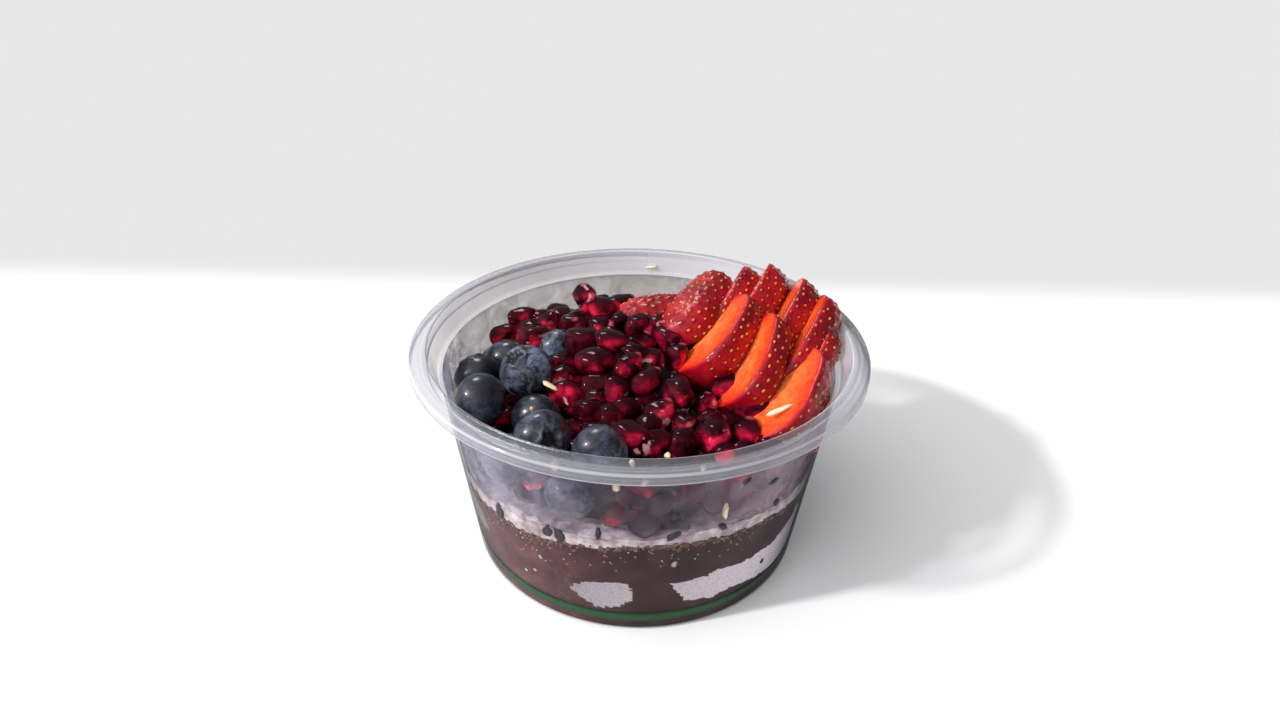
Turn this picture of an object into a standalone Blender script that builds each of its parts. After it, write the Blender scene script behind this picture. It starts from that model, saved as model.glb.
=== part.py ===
"""Acai bowl: a clear plastic tub filled with acai, cream and fresh fruit.

The origin is the centre of the tub's base, on the table. +Z is up, and -Y is the front.
All sizes below are in millimetres, and angles in degrees.
"""

import math

import bmesh
import bpy
from mathutils import Matrix, Vector, noise

MM = 0.001
GAP = 0.3  # clearance between pieces that touch
SIDES = 44  # straight sides round the tub and round the layers in it
SWEEP = 2 * math.pi / SIDES
WELD = 0.00001  # in metres
CREASE = 40.0  # edges sharper than this stay sharp in shading

# Tub: a wall that widens upwards, a seat for the lid, and a rim that turns down
BASE_RADIUS = 45.3
WALL_TAPER = 0.1168  # growth of the outer radius for each unit of height
WALL_HEIGHT = 53.0
WALL_THICKNESS = ((5.0, 2.0), (25.0, 1.8), (WALL_HEIGHT, 0.8))  # height, thickness
FLOOR_HEIGHT = 1.5
FLOOR_RADIUS = 40.6
FLOOR_CORNER = ((42.5, 2.1), (43.4, 3.4))  # radius, height
CORNER_RADIUS = 3.0
SEAT_RADIUS = 51.75
SEAT_RISE = 0.5
SEAT_THICKNESS = 0.8
LIP_RADIUS = 53.97
LIP_HEIGHT = 59.5
RIM_RADIUS = 58.5
RIM_CROWN = ((1.3, 0.2), (3.4, 0.5))  # outwards from the lip, down from the lip
RIM_SHOULDER = 1.6
SKIRT_DEPTH = 3.6
SKIRT_THICKNESS = 0.8
GROOVE = ((3.7, 1.9), (2.8, 1.4), (1.2, 1.1))  # outwards from the lip, down from the lip

# Layers: mean height of each one's top, and a swell at one side of it
ACAI_HEIGHT = 26.2
ACAI_SWELL = (5.2, -64.0, 32.0)  # height, angle round the tub, spread
CREAM_HEIGHT = 34.0
CREAM_SWELL = (2.4, -45.0, 50.0)
SWELL_REACH = (5.0, 40.0)  # radii over which a swell grows from nothing to full height
LAYER_RINGS = (14.0, 26.0, 36.0, 43.0)
SIDE_SHARES = (0.33, 0.67, 1.0)
RIPPLE = 0.7
RIPPLE_LENGTH = 9.0

# Heap of pomegranate seeds, with a lump for about every seed
HEAP_RINGS = (6.0, 12.0, 18.0, 24.0, 30.0, 36.0, 42.0)
HEAP_HEIGHT = 49.0
HEAP_CLEARANCE = 0.6
PEAK_HEIGHT = 10.0
PEAK_PLACE = Vector((-4.0, 11.0))
PEAK_SPREAD = 18.0
EDGE_DROP = 3.0
EDGE_RADII = (38.0, 49.0)
BACK_DROP = 9.0
BACK_REACH = (29.0, 44.0)  # from y to y
BERRY_HOLLOW = 6.0
BERRY_REACH_X = (-24.0, -14.0)
BERRY_REACH_Y = (8.0, 16.0)
SLICE_HOLLOW = 5.0
SLICE_REACH_X = (18.0, 26.0)
SLICE_REACH_Y = (-24.0, -12.0)
LUMP = 3.0
LUMP_LENGTH = 6.0
LUMP_RADII = (38.0, 44.0)  # lumps fade out between these radii

# Blueberries: centre, radius, and the way the crown points
BLUEBERRIES = (
    ((-42.5, -3.0, 46.5), 6.2, (-0.3, 0.3, 0.9)),
    ((-38.0, -21.0, 51.0), 6.4, (-0.6, 0.2, 0.8)),
    ((-36.5, 9.0, 44.0), 6.7, (0.2, 0.6, 0.8)),
    ((-29.0, -7.5, 51.0), 7.0, (-0.45, -0.25, 0.85)),
    ((-25.0, -20.0, 45.0), 6.4, (0.3, -0.2, 0.9)),
    ((-22.0, -33.5, 49.0), 6.7, (0.3, -0.75, 0.6)),
    ((-8.5, -38.5, 49.0), 6.5, (0.1, 0.3, 0.95)),
    ((-22.5, 12.0, 48.0), 6.6, (-0.2, 0.1, 1.0)),
)
BERRY_SEGMENTS = 12
BERRY_RINGS = 7
BERRY_FLATNESS = 0.9
CROWN_DEPTH = 0.2  # of the radius

# Strawberry slices: tip, turn of the cut face up from facing left, width, length,
# and the way the slice points
FAN = (0.48, 0.78, 0.40)
STRAWBERRY_SLICES = (
    ((12.0, 21.0, 56.0), 265.0, 15.0, 22.0, (0.95, 0.26, 0.10)),
    ((22.5, 31.0, 58.5), 245.0, 19.0, 34.0, (0.56, 0.80, 0.24)),
    ((29.5, 35.5, 61.0), 8.0, 20.0, 32.0, (0.45, 0.80, 0.40)),
    ((36.5, 34.5, 62.5), 8.0, 21.0, 35.0, FAN),
    ((44.5, 25.5, 62.5), 14.0, 19.0, 35.0, FAN),
    ((49.0, 15.5, 63.0), 14.0, 18.0, 33.0, FAN),
    ((48.5, 5.0, 58.5), 20.0, 15.0, 26.0, FAN),
    ((27.5, 16.5, 62.0), 24.0, 24.0, 36.0, (0.50, 0.77, 0.38)),
    ((32.5, 6.0, 61.5), 12.0, 19.0, 34.0, (0.36, 0.82, 0.44)),
    ((42.5, -3.5, 58.0), 42.0, 20.0, 31.0, FAN),
    ((43.0, -11.5, 52.0), -20.0, 13.0, 19.0, (0.30, 0.72, 0.62)),
)
SLICE_THICKNESS = 0.34  # of the width
SLICE_STATIONS = 9
SLICE_ARC = 7
SLICE_END = 0.15  # height of each end's point above the cut face, of the thickness


def smooth_step(value, start, end):
    """0 before start, 1 after end, and an even ease between them."""
    share = min(max((value - start) / (end - start), 0.0), 1.0)
    return share * share * (3 - 2 * share)


def make_material(name, colour, roughness, alpha=1.0):
    material = bpy.data.materials.new(name)
    material.use_nodes = True
    surface = material.node_tree.nodes["Principled BSDF"]
    surface.inputs["Base Color"].default_value = (*colour, 1.0)
    surface.inputs["Roughness"].default_value = roughness
    surface.inputs["Metallic"].default_value = 0.0
    surface.inputs["Alpha"].default_value = alpha
    return material


def add_object(name, shape, *materials):
    """Makes an object of a bmesh held in millimetres."""
    bmesh.ops.scale(shape, vec=(MM, MM, MM), verts=shape.verts)
    mesh = bpy.data.meshes.new(name)
    shape.to_mesh(mesh)
    shape.free()
    for material in materials:
        mesh.materials.append(material)
    mesh.shade_smooth()
    mesh.set_sharp_from_angle(angle=math.radians(CREASE))
    item = bpy.data.objects.new(name, mesh)
    bpy.context.scene.collection.objects.link(item)
    return item


# ---- tub ----


def outer_radius(height):
    return BASE_RADIUS + WALL_TAPER * height


def inner_profile():
    """Radius and height of points up the inside, from the middle of the floor to the lip."""
    wall = [(outer_radius(height) - thickness, height) for height, thickness in WALL_THICKNESS]
    return [
        (0.0, FLOOR_HEIGHT),
        (FLOOR_RADIUS, FLOOR_HEIGHT),
        *FLOOR_CORNER,
        *wall,
        (SEAT_RADIUS, WALL_HEIGHT + SEAT_RISE),
        (LIP_RADIUS, LIP_HEIGHT),
    ]


def inner_radius(height):
    """Inner radius of the tub at a height above its floor."""
    points = inner_profile()[1:]
    for (low_radius, low), (high_radius, high) in zip(points, points[1:]):
        if height <= high:
            share = (height - low) / (high - low)
            return low_radius + (high_radius - low_radius) * share
    return points[-1][0]


def tub_profile():
    """Half section: up the inside, over the rim, down the outside and in to the axis."""
    crown = [(LIP_RADIUS + out, LIP_HEIGHT - down) for out, down in RIM_CROWN]
    skirt = [
        (RIM_RADIUS, LIP_HEIGHT - RIM_SHOULDER),
        (RIM_RADIUS, LIP_HEIGHT - SKIRT_DEPTH),
        (RIM_RADIUS - SKIRT_THICKNESS, LIP_HEIGHT - SKIRT_DEPTH),
    ]
    groove = [(LIP_RADIUS + out, LIP_HEIGHT - down) for out, down in GROOVE]
    seat = [
        (SEAT_RADIUS + SEAT_THICKNESS, WALL_HEIGHT + SEAT_RISE / 2),
        (outer_radius(WALL_HEIGHT), WALL_HEIGHT - SEAT_RISE),
    ]
    corner = []
    for turn in (0.0, math.pi / 4, math.pi / 2):
        radius = outer_radius(CORNER_RADIUS) - CORNER_RADIUS * (1 - math.cos(turn))
        corner.append((radius, CORNER_RADIUS * (1 - math.sin(turn))))
    return [*inner_profile(), *crown, *skirt, *groove, *seat, *corner, (0.0, 0.0)]


def make_tub(material):
    shape = bmesh.new()
    points = [shape.verts.new((radius, 0.0, height)) for radius, height in tub_profile()]
    for first, second in zip(points, points[1:]):
        shape.edges.new((first, second))
    tub = add_object("bowl", shape, material)
    turn = tub.modifiers.new("turn", "SCREW")
    turn.steps = SIDES
    turn.render_steps = SIDES
    turn.use_merge_vertices = True
    turn.merge_threshold = WELD


# ---- layers ----


def layer_top(x, y, height, swell):
    """Height of a layer's uneven top, which swells towards one side of the tub."""
    rise, centre, spread = swell
    turned = math.remainder(math.degrees(math.atan2(y, x)) - centre, 360.0)
    rise *= math.exp(-((turned / spread) ** 2))
    rise *= smooth_step(math.hypot(x, y), *SWELL_REACH)
    return height + rise + RIPPLE * noise.noise(Vector((x, y, height)) / RIPPLE_LENGTH)


def acai_bottom(x, y):
    """Just above the tub's floor, and over the rounded corner at its edge."""
    if math.hypot(x, y) <= FLOOR_RADIUS:
        return FLOOR_HEIGHT + GAP
    return FLOOR_CORNER[-1][1]


def acai_top(x, y):
    return layer_top(x, y, ACAI_HEIGHT, ACAI_SWELL)


def cream_bottom(x, y):
    return acai_top(x, y) + GAP


def cream_top(x, y):
    return layer_top(x, y, CREAM_HEIGHT, CREAM_SWELL)


def ring_points(shape, radius_at, height_at):
    """A loop of points round the tub, at the radius and height that two rules give."""
    loop = []
    for step in range(SIDES):
        angle = step * SWEEP
        radius = radius_at(angle)
        x = radius * math.cos(angle)
        y = radius * math.sin(angle)
        loop.append(shape.verts.new((x, y, height_at(x, y))))
    return loop


def bridge(shape, lower, upper, mirrored=False):
    """Triangles between two loops, facing outwards where the upper one lies above or inside.

    A surface and the one that lies on it are split opposite ways, so that the two match.
    """
    for step in range(len(lower)):
        after = (step + 1) % len(lower)
        if mirrored:
            shape.faces.new((lower[step], lower[after], upper[step]))
            shape.faces.new((lower[after], upper[after], upper[step]))
        else:
            shape.faces.new((lower[step], lower[after], upper[after]))
            shape.faces.new((lower[step], upper[after], upper[step]))


def close_loop(shape, loop, height, upwards):
    """A fan from a loop to a point on the axis."""
    centre = shape.verts.new((0.0, 0.0, height))
    for step in range(len(loop)):
        after = (step + 1) % len(loop)
        pair = (loop[step], loop[after]) if upwards else (loop[after], loop[step])
        shape.faces.new((*pair, centre))


def edge_radius(surface, angle, clearance):
    """Radius at which a surface comes to the tub's wall, less the clearance."""
    radius = inner_radius(CREAM_HEIGHT) - clearance
    for _ in range(3):
        height = surface(radius * math.cos(angle), radius * math.sin(angle))
        radius = inner_radius(height) - clearance
    return radius


def edge_loop(shape, surface, clearance):
    """The loop of points where a surface comes to the tub's wall."""
    return ring_points(shape, lambda angle: edge_radius(surface, angle, clearance), surface)


def make_layer(name, bottom, top, bottom_rings, top_rings, clearance, material):
    """A solid that fills the tub from one surface to another."""
    shape = bmesh.new()
    loops = [ring_points(shape, lambda _, r=radius: r, bottom) for radius in bottom_rings]
    loops.append(edge_loop(shape, bottom, clearance))
    for share in SIDE_SHARES:

        def between(x, y, share=share):
            return bottom(x, y) + share * (top(x, y) - bottom(x, y))

        loops.append(edge_loop(shape, between, clearance))
    for radius in reversed(top_rings):
        loops.append(ring_points(shape, lambda _, r=radius: r, top))
    for place, (lower, upper) in enumerate(zip(loops, loops[1:])):
        bridge(shape, lower, upper, mirrored=place < len(bottom_rings))
    close_loop(shape, loops[0], bottom(0.0, 0.0), upwards=False)
    close_loop(shape, loops[-1], top(0.0, 0.0), upwards=True)
    return add_object(name, shape, material)


# ---- fruit ----


def heap_bottom(x, y):
    return cream_top(x, y) + 2 * GAP


def heap_top(x, y):
    """The mound of seeds: lower behind, round the blueberries and under the strawberries."""
    radius = math.hypot(x, y)
    from_peak = (Vector((x, y)) - PEAK_PLACE).length
    height = HEAP_HEIGHT + PEAK_HEIGHT * math.exp(-((from_peak / PEAK_SPREAD) ** 2) / 2)
    height -= EDGE_DROP * smooth_step(radius, *EDGE_RADII)
    height -= BACK_DROP * smooth_step(y, *BACK_REACH)
    beside_berries = 1 - smooth_step(x, *BERRY_REACH_X)
    before_berries = 1 - smooth_step(y, *BERRY_REACH_Y)
    height -= BERRY_HOLLOW * beside_berries * before_berries
    height -= SLICE_HOLLOW * smooth_step(x, *SLICE_REACH_X) * smooth_step(y, *SLICE_REACH_Y)
    lump = noise.cell(Vector((x, y, HEAP_HEIGHT)) / LUMP_LENGTH) - 0.5
    return height + LUMP * lump * (1 - smooth_step(radius, *LUMP_RADII))


def berry_shape(centre, radius, crown):
    """A flattened ball with a cupped crown, turned to point the crown."""
    shape = bmesh.new()
    bmesh.ops.create_uvsphere(
        shape, u_segments=BERRY_SEGMENTS, v_segments=BERRY_RINGS, radius=radius
    )
    top = max(shape.verts, key=lambda vert: vert.co.z)
    top.co.z -= CROWN_DEPTH * radius
    bmesh.ops.scale(shape, vec=(1.0, 1.0, BERRY_FLATNESS), verts=shape.verts)
    turn = Vector((0.0, 0.0, 1.0)).rotation_difference(Vector(crown)).to_matrix().to_4x4()
    bmesh.ops.transform(shape, matrix=Matrix.Translation(centre) @ turn, verts=shape.verts)
    return shape


def slice_outline(share):
    """Half width of a strawberry cut lengthwise, from the stalk end at 0 to the tip at 1."""
    return (1 - (2 * share - 1) ** 2) ** 0.5 * (1.12 - 0.30 * share)


def slice_shape(tip, turn, width, length, lean):
    """A cheek of a strawberry: a flat cut face, and skin that bulges away from it."""
    shape = bmesh.new()
    thickness = SLICE_THICKNESS * width
    loops = []
    for station in range(1, SLICE_STATIONS):
        share = (1 - math.cos(math.pi * station / SLICE_STATIONS)) / 2
        reach = slice_outline(share)
        loop = []
        for step in range(SLICE_ARC):
            angle = math.pi * step / (SLICE_ARC - 1)
            out = thickness * reach**0.6 * math.sin(angle) ** 0.8
            across = width / 2 * reach * math.cos(angle)
            loop.append(shape.verts.new((out, across, (share - 1) * length)))
        loops.append(loop)
    for lower, upper in zip(loops, loops[1:]):
        bridge(shape, lower, upper)
    for loop, end in ((loops[0], -length), (loops[-1], 0.0)):
        point = shape.verts.new((SLICE_END * thickness, 0.0, end))
        for step in range(SLICE_ARC):
            shape.faces.new((loop[step], loop[(step + 1) % SLICE_ARC], point))
    bmesh.ops.recalc_face_normals(shape, faces=shape.faces)
    for face in shape.faces:
        face.material_index = int(face.normal.x < -0.9)
    along = Vector(lean).normalized()
    left = (Vector((-1.0, 0.0, 0.0)) + along * along.x).normalized()
    upward = along.cross(left)
    skin = -left * math.cos(math.radians(turn)) - upward * math.sin(math.radians(turn))
    frame = Matrix((skin, along.cross(skin), along)).transposed().to_4x4()
    bmesh.ops.transform(shape, matrix=Matrix.Translation(tip) @ frame, verts=shape.verts)
    return shape


def grown(shape):
    """The same shape with every face moved out by the gap between pieces."""
    shape.normal_update()
    for vert, offset in [(vert, vert.normal * vert.calc_shell_factor()) for vert in shape.verts]:
        vert.co += GAP * offset
    return shape


def cut(item, cutter):
    """Takes a hidden cutter out of an item."""
    cutter.hide_render = True
    cutter.display_type = "WIRE"
    hollow = item.modifiers.new("clear " + cutter.name, "BOOLEAN")
    hollow.operation = "DIFFERENCE"
    hollow.solver = "EXACT"
    hollow.object = cutter


def make_blueberries(heap, material):
    for number, berry in enumerate(BLUEBERRIES, 1):
        add_object(f"blueberry_{number}", berry_shape(*berry), material)
        cut(heap, add_object(f"room for blueberry {number}", grown(berry_shape(*berry))))


def make_slices(heap, skin, flesh):
    """Makes the strawberry slices, each one trimmed where a later one presses against it."""
    slices = []
    for number, size_and_place in enumerate(STRAWBERRY_SLICES, 1):
        piece = add_object(
            f"strawberry_slice_{number}", slice_shape(*size_and_place), skin, flesh
        )
        room = add_object(f"room for slice {number}", grown(slice_shape(*size_and_place)))
        for item in (heap, *slices):
            cut(item, room)
        slices.append(piece)


def build():
    for item in list(bpy.data.objects):
        bpy.data.objects.remove(item)

    plastic = make_material("clear plastic", (0.85, 0.88, 0.88), 0.15, alpha=0.3)
    acai = make_material("acai puree", (0.09, 0.035, 0.042), 0.5)
    cream = make_material("cream", (0.62, 0.52, 0.53), 0.6)
    seeds = make_material("pomegranate seeds", (0.17, 0.004, 0.012), 0.15)
    blueberry = make_material("blueberry skin", (0.02, 0.03, 0.07), 0.5)
    skin = make_material("strawberry skin", (0.42, 0.01, 0.01), 0.3)
    flesh = make_material("strawberry flesh", (0.85, 0.13, 0.02), 0.4)

    make_tub(plastic)
    make_layer("acai", acai_bottom, acai_top, (FLOOR_RADIUS,), LAYER_RINGS, GAP, acai)
    make_layer("cream_layer", cream_bottom, cream_top, LAYER_RINGS, LAYER_RINGS, GAP, cream)
    heap = make_layer(
        "pomegranate_heap",
        heap_bottom,
        heap_top,
        LAYER_RINGS,
        HEAP_RINGS,
        HEAP_CLEARANCE,
        seeds,
    )
    make_blueberries(heap, blueberry)
    make_slices(heap, skin, flesh)


build()
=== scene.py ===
"""Looks of an acai bowl: a clear tub of acai and cream under pomegranate, blueberries and strawberries.

Lengths are millimetres, turned to metres by MM, and angles are degrees round the tub from +X.
"""

import math
import random

import bpy
import numpy as np
from mathutils import Matrix, Vector, noise


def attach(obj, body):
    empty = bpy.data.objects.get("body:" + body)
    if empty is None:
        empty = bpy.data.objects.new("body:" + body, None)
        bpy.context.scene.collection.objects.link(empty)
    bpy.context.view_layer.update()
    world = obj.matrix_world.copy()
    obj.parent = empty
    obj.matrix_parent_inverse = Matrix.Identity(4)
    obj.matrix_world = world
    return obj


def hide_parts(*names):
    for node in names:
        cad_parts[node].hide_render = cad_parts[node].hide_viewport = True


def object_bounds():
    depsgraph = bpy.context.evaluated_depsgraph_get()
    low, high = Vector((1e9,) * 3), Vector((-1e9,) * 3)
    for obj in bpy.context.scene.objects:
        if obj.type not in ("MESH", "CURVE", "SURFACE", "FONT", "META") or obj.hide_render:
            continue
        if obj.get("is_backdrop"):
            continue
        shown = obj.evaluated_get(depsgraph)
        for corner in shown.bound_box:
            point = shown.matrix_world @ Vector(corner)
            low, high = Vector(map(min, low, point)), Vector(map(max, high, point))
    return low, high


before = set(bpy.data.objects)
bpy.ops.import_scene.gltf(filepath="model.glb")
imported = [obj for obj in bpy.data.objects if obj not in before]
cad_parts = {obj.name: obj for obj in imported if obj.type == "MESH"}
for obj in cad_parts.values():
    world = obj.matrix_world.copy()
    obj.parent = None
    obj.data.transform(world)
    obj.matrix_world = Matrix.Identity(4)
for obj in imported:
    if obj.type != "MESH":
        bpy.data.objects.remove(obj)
cad_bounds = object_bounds()
bpy.ops.object.select_all(action="DESELECT")
scene = bpy.context.scene
MM = 0.001


# ---- camera ----
# A short lens held close above the table, so the rim looks wide and the base narrow.

CAMERA_PLACE = Vector((-0.0005, -0.1796, 0.1554))
CAMERA_PITCH = 30.24
CAMERA_YAW = 0.21
CAMERA_ROLL = 1.37
CAMERA_LENS = 22.08

pitch = math.radians(CAMERA_PITCH)
yaw = math.radians(CAMERA_YAW)
roll = math.radians(CAMERA_ROLL)
forward = Vector((math.sin(yaw) * math.cos(pitch), math.cos(yaw) * math.cos(pitch), -math.sin(pitch)))
level = Vector((math.cos(yaw), -math.sin(yaw), 0.0))
upright = level.cross(forward)
right = math.cos(roll) * level + math.sin(roll) * upright
above = right.cross(forward)
camera = bpy.data.objects.new("camera", bpy.data.cameras.new("camera"))
scene.collection.objects.link(camera)
turned_view = Matrix((right, above, -forward)).transposed().to_4x4()
camera.matrix_world = Matrix.Translation(CAMERA_PLACE) @ turned_view
camera.data.sensor_width = 36.0
camera.data.lens = CAMERA_LENS
camera.data.clip_start = 0.005
scene.camera = camera
scene.view_settings.view_transform = "Standard"
scene.cycles.transparent_max_bounces = 24  # one looks through up to a dozen clear walls


# ---- table and light ----
# A white table that fades to pale grey behind the bowl. A broad lamp stands to the left, a softbox
# hangs behind the bowl, and the room is bright on the left and dim on the right.

TABLE_WHITE = "#fbfbfb"
TABLE_GREY = "#d5d5d5"
FADE = (132.0, 176.0)  # the table turns grey between these depths
LAMP_TURN = 20.0  # the way the shadow points
LAMP_HEIGHT = 35.0
LAMP_POWER = 2.4
LAMP_BREADTH = 4.0
SOFTBOX_PLACE = Vector((-0.25, 0.62, 0.78))
SOFTBOX_SIDE = 0.22
SOFTBOX_POWER = 2.6
ROOM_BRIGHT = "#ffffff"
ROOM_DIM = "#5a5b5e"
ROOM_BACK = "#3a3b3e"
ROOM_POWER = 1.75


def linear(hex_colour):
    """Linear RGBA of an sRGB hex colour."""
    shares = [int(hex_colour[place : place + 2], 16) / 255 for place in (1, 3, 5)]
    curved = [share / 12.92 if share <= 0.04045 else ((share + 0.055) / 1.055) ** 2.4 for share in shares]
    return (*curved, 1.0)


def add_node(tree, kind, inputs=None, stops=None, **settings):
    """Adds a node. An input is a value, a hex colour, a socket, or a node whose first output feeds it.

    Stops are a colour ramp's, each a place and a hex colour or a shade of grey.
    """
    made = tree.nodes.new("ShaderNode" + kind)
    for name, value in settings.items():
        setattr(made, name, value)
    for name, value in (inputs or {}).items():
        if isinstance(value, bpy.types.Node):
            value = value.outputs[0]
        if isinstance(value, bpy.types.NodeSocket):
            tree.links.new(value, made.inputs[name])
        else:
            made.inputs[name].default_value = linear(value) if isinstance(value, str) else value
    if stops:
        elements = made.color_ramp.elements
        while len(elements) < len(stops):
            elements.new(0.5)
        for element, (place, shade) in zip(elements, stops):
            element.position = place
            element.color = linear(shade) if isinstance(shade, str) else (shade, shade, shade, 1.0)
    return made


def new_material(name):
    """A bare material, with its node tree and its place on the piece, in metres."""
    material = bpy.data.materials.new(name)
    material.use_nodes = True
    material.node_tree.nodes.clear()
    spot = add_node(material.node_tree, "TexCoord").outputs["Object"]
    return material, material.node_tree, spot


bpy.ops.mesh.primitive_plane_add(size=6.0, location=(0.0, 0.0, -0.0001))
table = bpy.context.object
table.name = "table"
# Matt laminate: it shines nowhere, so only its two tones and the shadow show.
laminate, tree, spot = new_material("matt white laminate")
depth = add_node(tree, "SeparateXYZ", {"Vector": spot}).outputs["Y"]
fade = add_node(
    tree,
    "MapRange",
    {"Value": depth, "From Min": FADE[0] * MM, "From Max": FADE[1] * MM},
    interpolation_type="SMOOTHSTEP",
)
tone = add_node(tree, "MixRGB", {"Fac": fade, "Color1": TABLE_WHITE, "Color2": TABLE_GREY})
surface = add_node(tree, "BsdfDiffuse", {"Color": tone})
add_node(tree, "OutputMaterial", {"Surface": surface})
table.data.materials.append(laminate)
table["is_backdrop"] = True

lamp = bpy.data.objects.new("lamp", bpy.data.lights.new("lamp", "SUN"))
lamp.data.energy = LAMP_POWER
lamp.data.angle = math.radians(LAMP_BREADTH)
reach = math.cos(math.radians(LAMP_HEIGHT))
shadow_way = Vector(
    (
        reach * math.cos(math.radians(LAMP_TURN)),
        reach * math.sin(math.radians(LAMP_TURN)),
        -math.sin(math.radians(LAMP_HEIGHT)),
    )
)
lamp.rotation_euler = shadow_way.to_track_quat("-Z", "Y").to_euler()
scene.collection.objects.link(lamp)

softbox = bpy.data.objects.new("softbox", bpy.data.lights.new("softbox", "AREA"))
softbox.data.energy = SOFTBOX_POWER
softbox.data.size = SOFTBOX_SIDE
softbox.visible_diffuse = False  # it only gives wet surfaces something to reflect
softbox.location = SOFTBOX_PLACE
softbox.rotation_euler = (-SOFTBOX_PLACE).to_track_quat("-Z", "Y").to_euler()
scene.collection.objects.link(softbox)

room = bpy.data.worlds.new("room")
room.use_nodes = True
tree = room.node_tree
tree.nodes.clear()
way = add_node(tree, "TexCoord").outputs["Generated"]
ways = add_node(tree, "SeparateXYZ", {"Vector": way})
across = ways.outputs["X"]
dimming = add_node(
    tree,
    "MapRange",
    {"Value": across, "From Min": -0.7, "From Max": 0.8},
    interpolation_type="SMOOTHSTEP",
)
walls = add_node(tree, "MixRGB", {"Fac": dimming, "Color1": ROOM_BRIGHT, "Color2": ROOM_DIM})
backwards = add_node(
    tree,
    "MapRange",
    {"Value": ways.outputs["Y"], "From Min": -0.1, "From Max": 0.7, "To Max": 0.8},
    interpolation_type="SMOOTHSTEP",
)
all_round = add_node(tree, "MixRGB", {"Fac": backwards, "Color1": walls, "Color2": ROOM_BACK})
glow = add_node(tree, "Background", {"Color": all_round, "Strength": ROOM_POWER})
add_node(tree, "OutputWorld", {"Surface": glow})
scene.world = room


# ---- tub ----
# A thermoformed tub of clear plastic: a wall that widens upwards, a seat for the lid, and a rim
# that turns over into a short skirt. It is one turned section with its edges rounded.

BASE_RADIUS = 45.3
WALL_TAPER = 0.1168
LIP_RADIUS = 53.97
LIP_HEIGHT = 59.5
FOOT_ROUND = 1.0
INNER_WALL = (  # radius, height
    (0.0, 1.2),
    (41.0, 1.2),
    (43.3, 2.0),
    (44.35, 3.4),
    (44.9, 5.0),
    (45.43, 8.0),
    (47.42, 25.0),
    (50.69, 53.0),
    (51.75, 53.5),
    (53.97, 59.5),
)
TURN_STEPS = 192


def outer_radius(height):
    return BASE_RADIUS + WALL_TAPER * height


def inner_radius(height):
    """Radius of the inside of the wall at a height."""
    return float(np.interp(height, [up for _, up in INNER_WALL[1:]], [out for out, _ in INNER_WALL[1:]]))


def select_only(item):
    bpy.ops.object.select_all(action="DESELECT")
    bpy.context.view_layer.objects.active = item
    item.select_set(True)


def turned(name, section, steps, crease=30.0):
    """A shape spun about the tub's axis from a half section of (radius, height) pairs."""
    mesh = bpy.data.meshes.new(name)
    corners = [(radius * MM, 0.0, height * MM) for radius, height in section]
    mesh.from_pydata(corners, [(here, here + 1) for here in range(len(corners) - 1)], [])
    item = bpy.data.objects.new(name, mesh)
    scene.collection.objects.link(item)
    select_only(item)
    bpy.ops.object.mode_set(mode="EDIT")
    bpy.ops.mesh.select_all(action="SELECT")
    bpy.ops.mesh.spin(steps=steps, angle=2 * math.pi, center=(0, 0, 0), axis=(0, 0, 1))
    bpy.ops.mesh.select_all(action="SELECT")
    bpy.ops.mesh.remove_doubles(threshold=1e-6)
    bpy.ops.mesh.normals_make_consistent(inside=False)
    bpy.ops.object.mode_set(mode="OBJECT")
    bpy.ops.object.shade_smooth_by_angle(angle=math.radians(crease))
    return item


crown = [(0.7, 0.0), (1.3, -0.1), (1.7, -0.4), (2.5, -0.35), (2.9, -0.6), (3.6, -0.65), (4.2, -1.05)]
crown += [(4.53, -1.6), (4.53, -3.6), (3.73, -3.6)]
groove = [(3.7, -1.9), (2.8, -1.4), (1.2, -1.1)]
rim = [(LIP_RADIUS + out, LIP_HEIGHT + up) for out, up in crown + groove]
corner = [
    (
        outer_radius(FOOT_ROUND) - FOOT_ROUND * (1 - math.cos(bend)),
        FOOT_ROUND - FOOT_ROUND * math.sin(bend),
    )
    for bend in (0.0, 0.4, 0.8, 1.2, math.pi / 2)
]
section = [*INNER_WALL, *rim, (52.55, 53.25), (outer_radius(52.5), 52.5), *corner, (0.0, 0.0)]
tub = turned("tub", section, TURN_STEPS)
rounding = tub.modifiers.new("rounding", "BEVEL")
rounding.width = 0.25 * MM
rounding.segments = 2
rounding.limit_method = "ANGLE"
rounding.angle_limit = math.radians(28.0)
bpy.ops.object.modifier_apply(modifier="rounding")

# Clear polypropylene, thin enough to leave what lies behind it in place. It has a gloss, and it is
# dark where one looks along the wall, drawn near black as painted shade low on the right. The rim
# is milky, and painted highlights draw bright rings and bands on it where its edges would gather
# light.
clear_plastic, tree, spot = new_material("clear thermoformed polypropylene")
parts = add_node(tree, "SeparateXYZ", {"Vector": spot})
height = parts.outputs["Z"]
flat = add_node(tree, "CombineXYZ", {"X": parts.outputs["X"], "Y": parts.outputs["Y"]})
radius = add_node(tree, "VectorMath", {0: flat}, operation="LENGTH").outputs["Value"]
facing = add_node(tree, "LayerWeight", {"Blend": 0.5}).outputs["Facing"]
grazing = add_node(
    tree,
    "MapRange",
    {"Value": facing, "From Min": 0.60, "From Max": 0.97},
    interpolation_type="SMOOTHSTEP",
)
up_share = add_node(tree, "MapRange", {"Value": height, "From Max": 0.06})
edge_tone = add_node(
    tree,
    "ValToRGB",
    {"Fac": up_share},
    stops=[(0.0, "#949796"), (0.50, "#a3a6a5"), (0.72, "#c9ccd2"), (1.0, "#dcdce4")],
)
# Painted shade: low down on the right, the wall's grazing edge is drawn near black.
painted_shade_right_share = add_node(
    tree, "MapRange", {"Value": parts.outputs["X"], "From Min": 0.030, "From Max": 0.042}
)
painted_shade_low_share = add_node(
    tree, "MapRange", {"Value": height, "From Min": 0.050, "From Max": 0.036, "To Max": 0.85}
)
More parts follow.
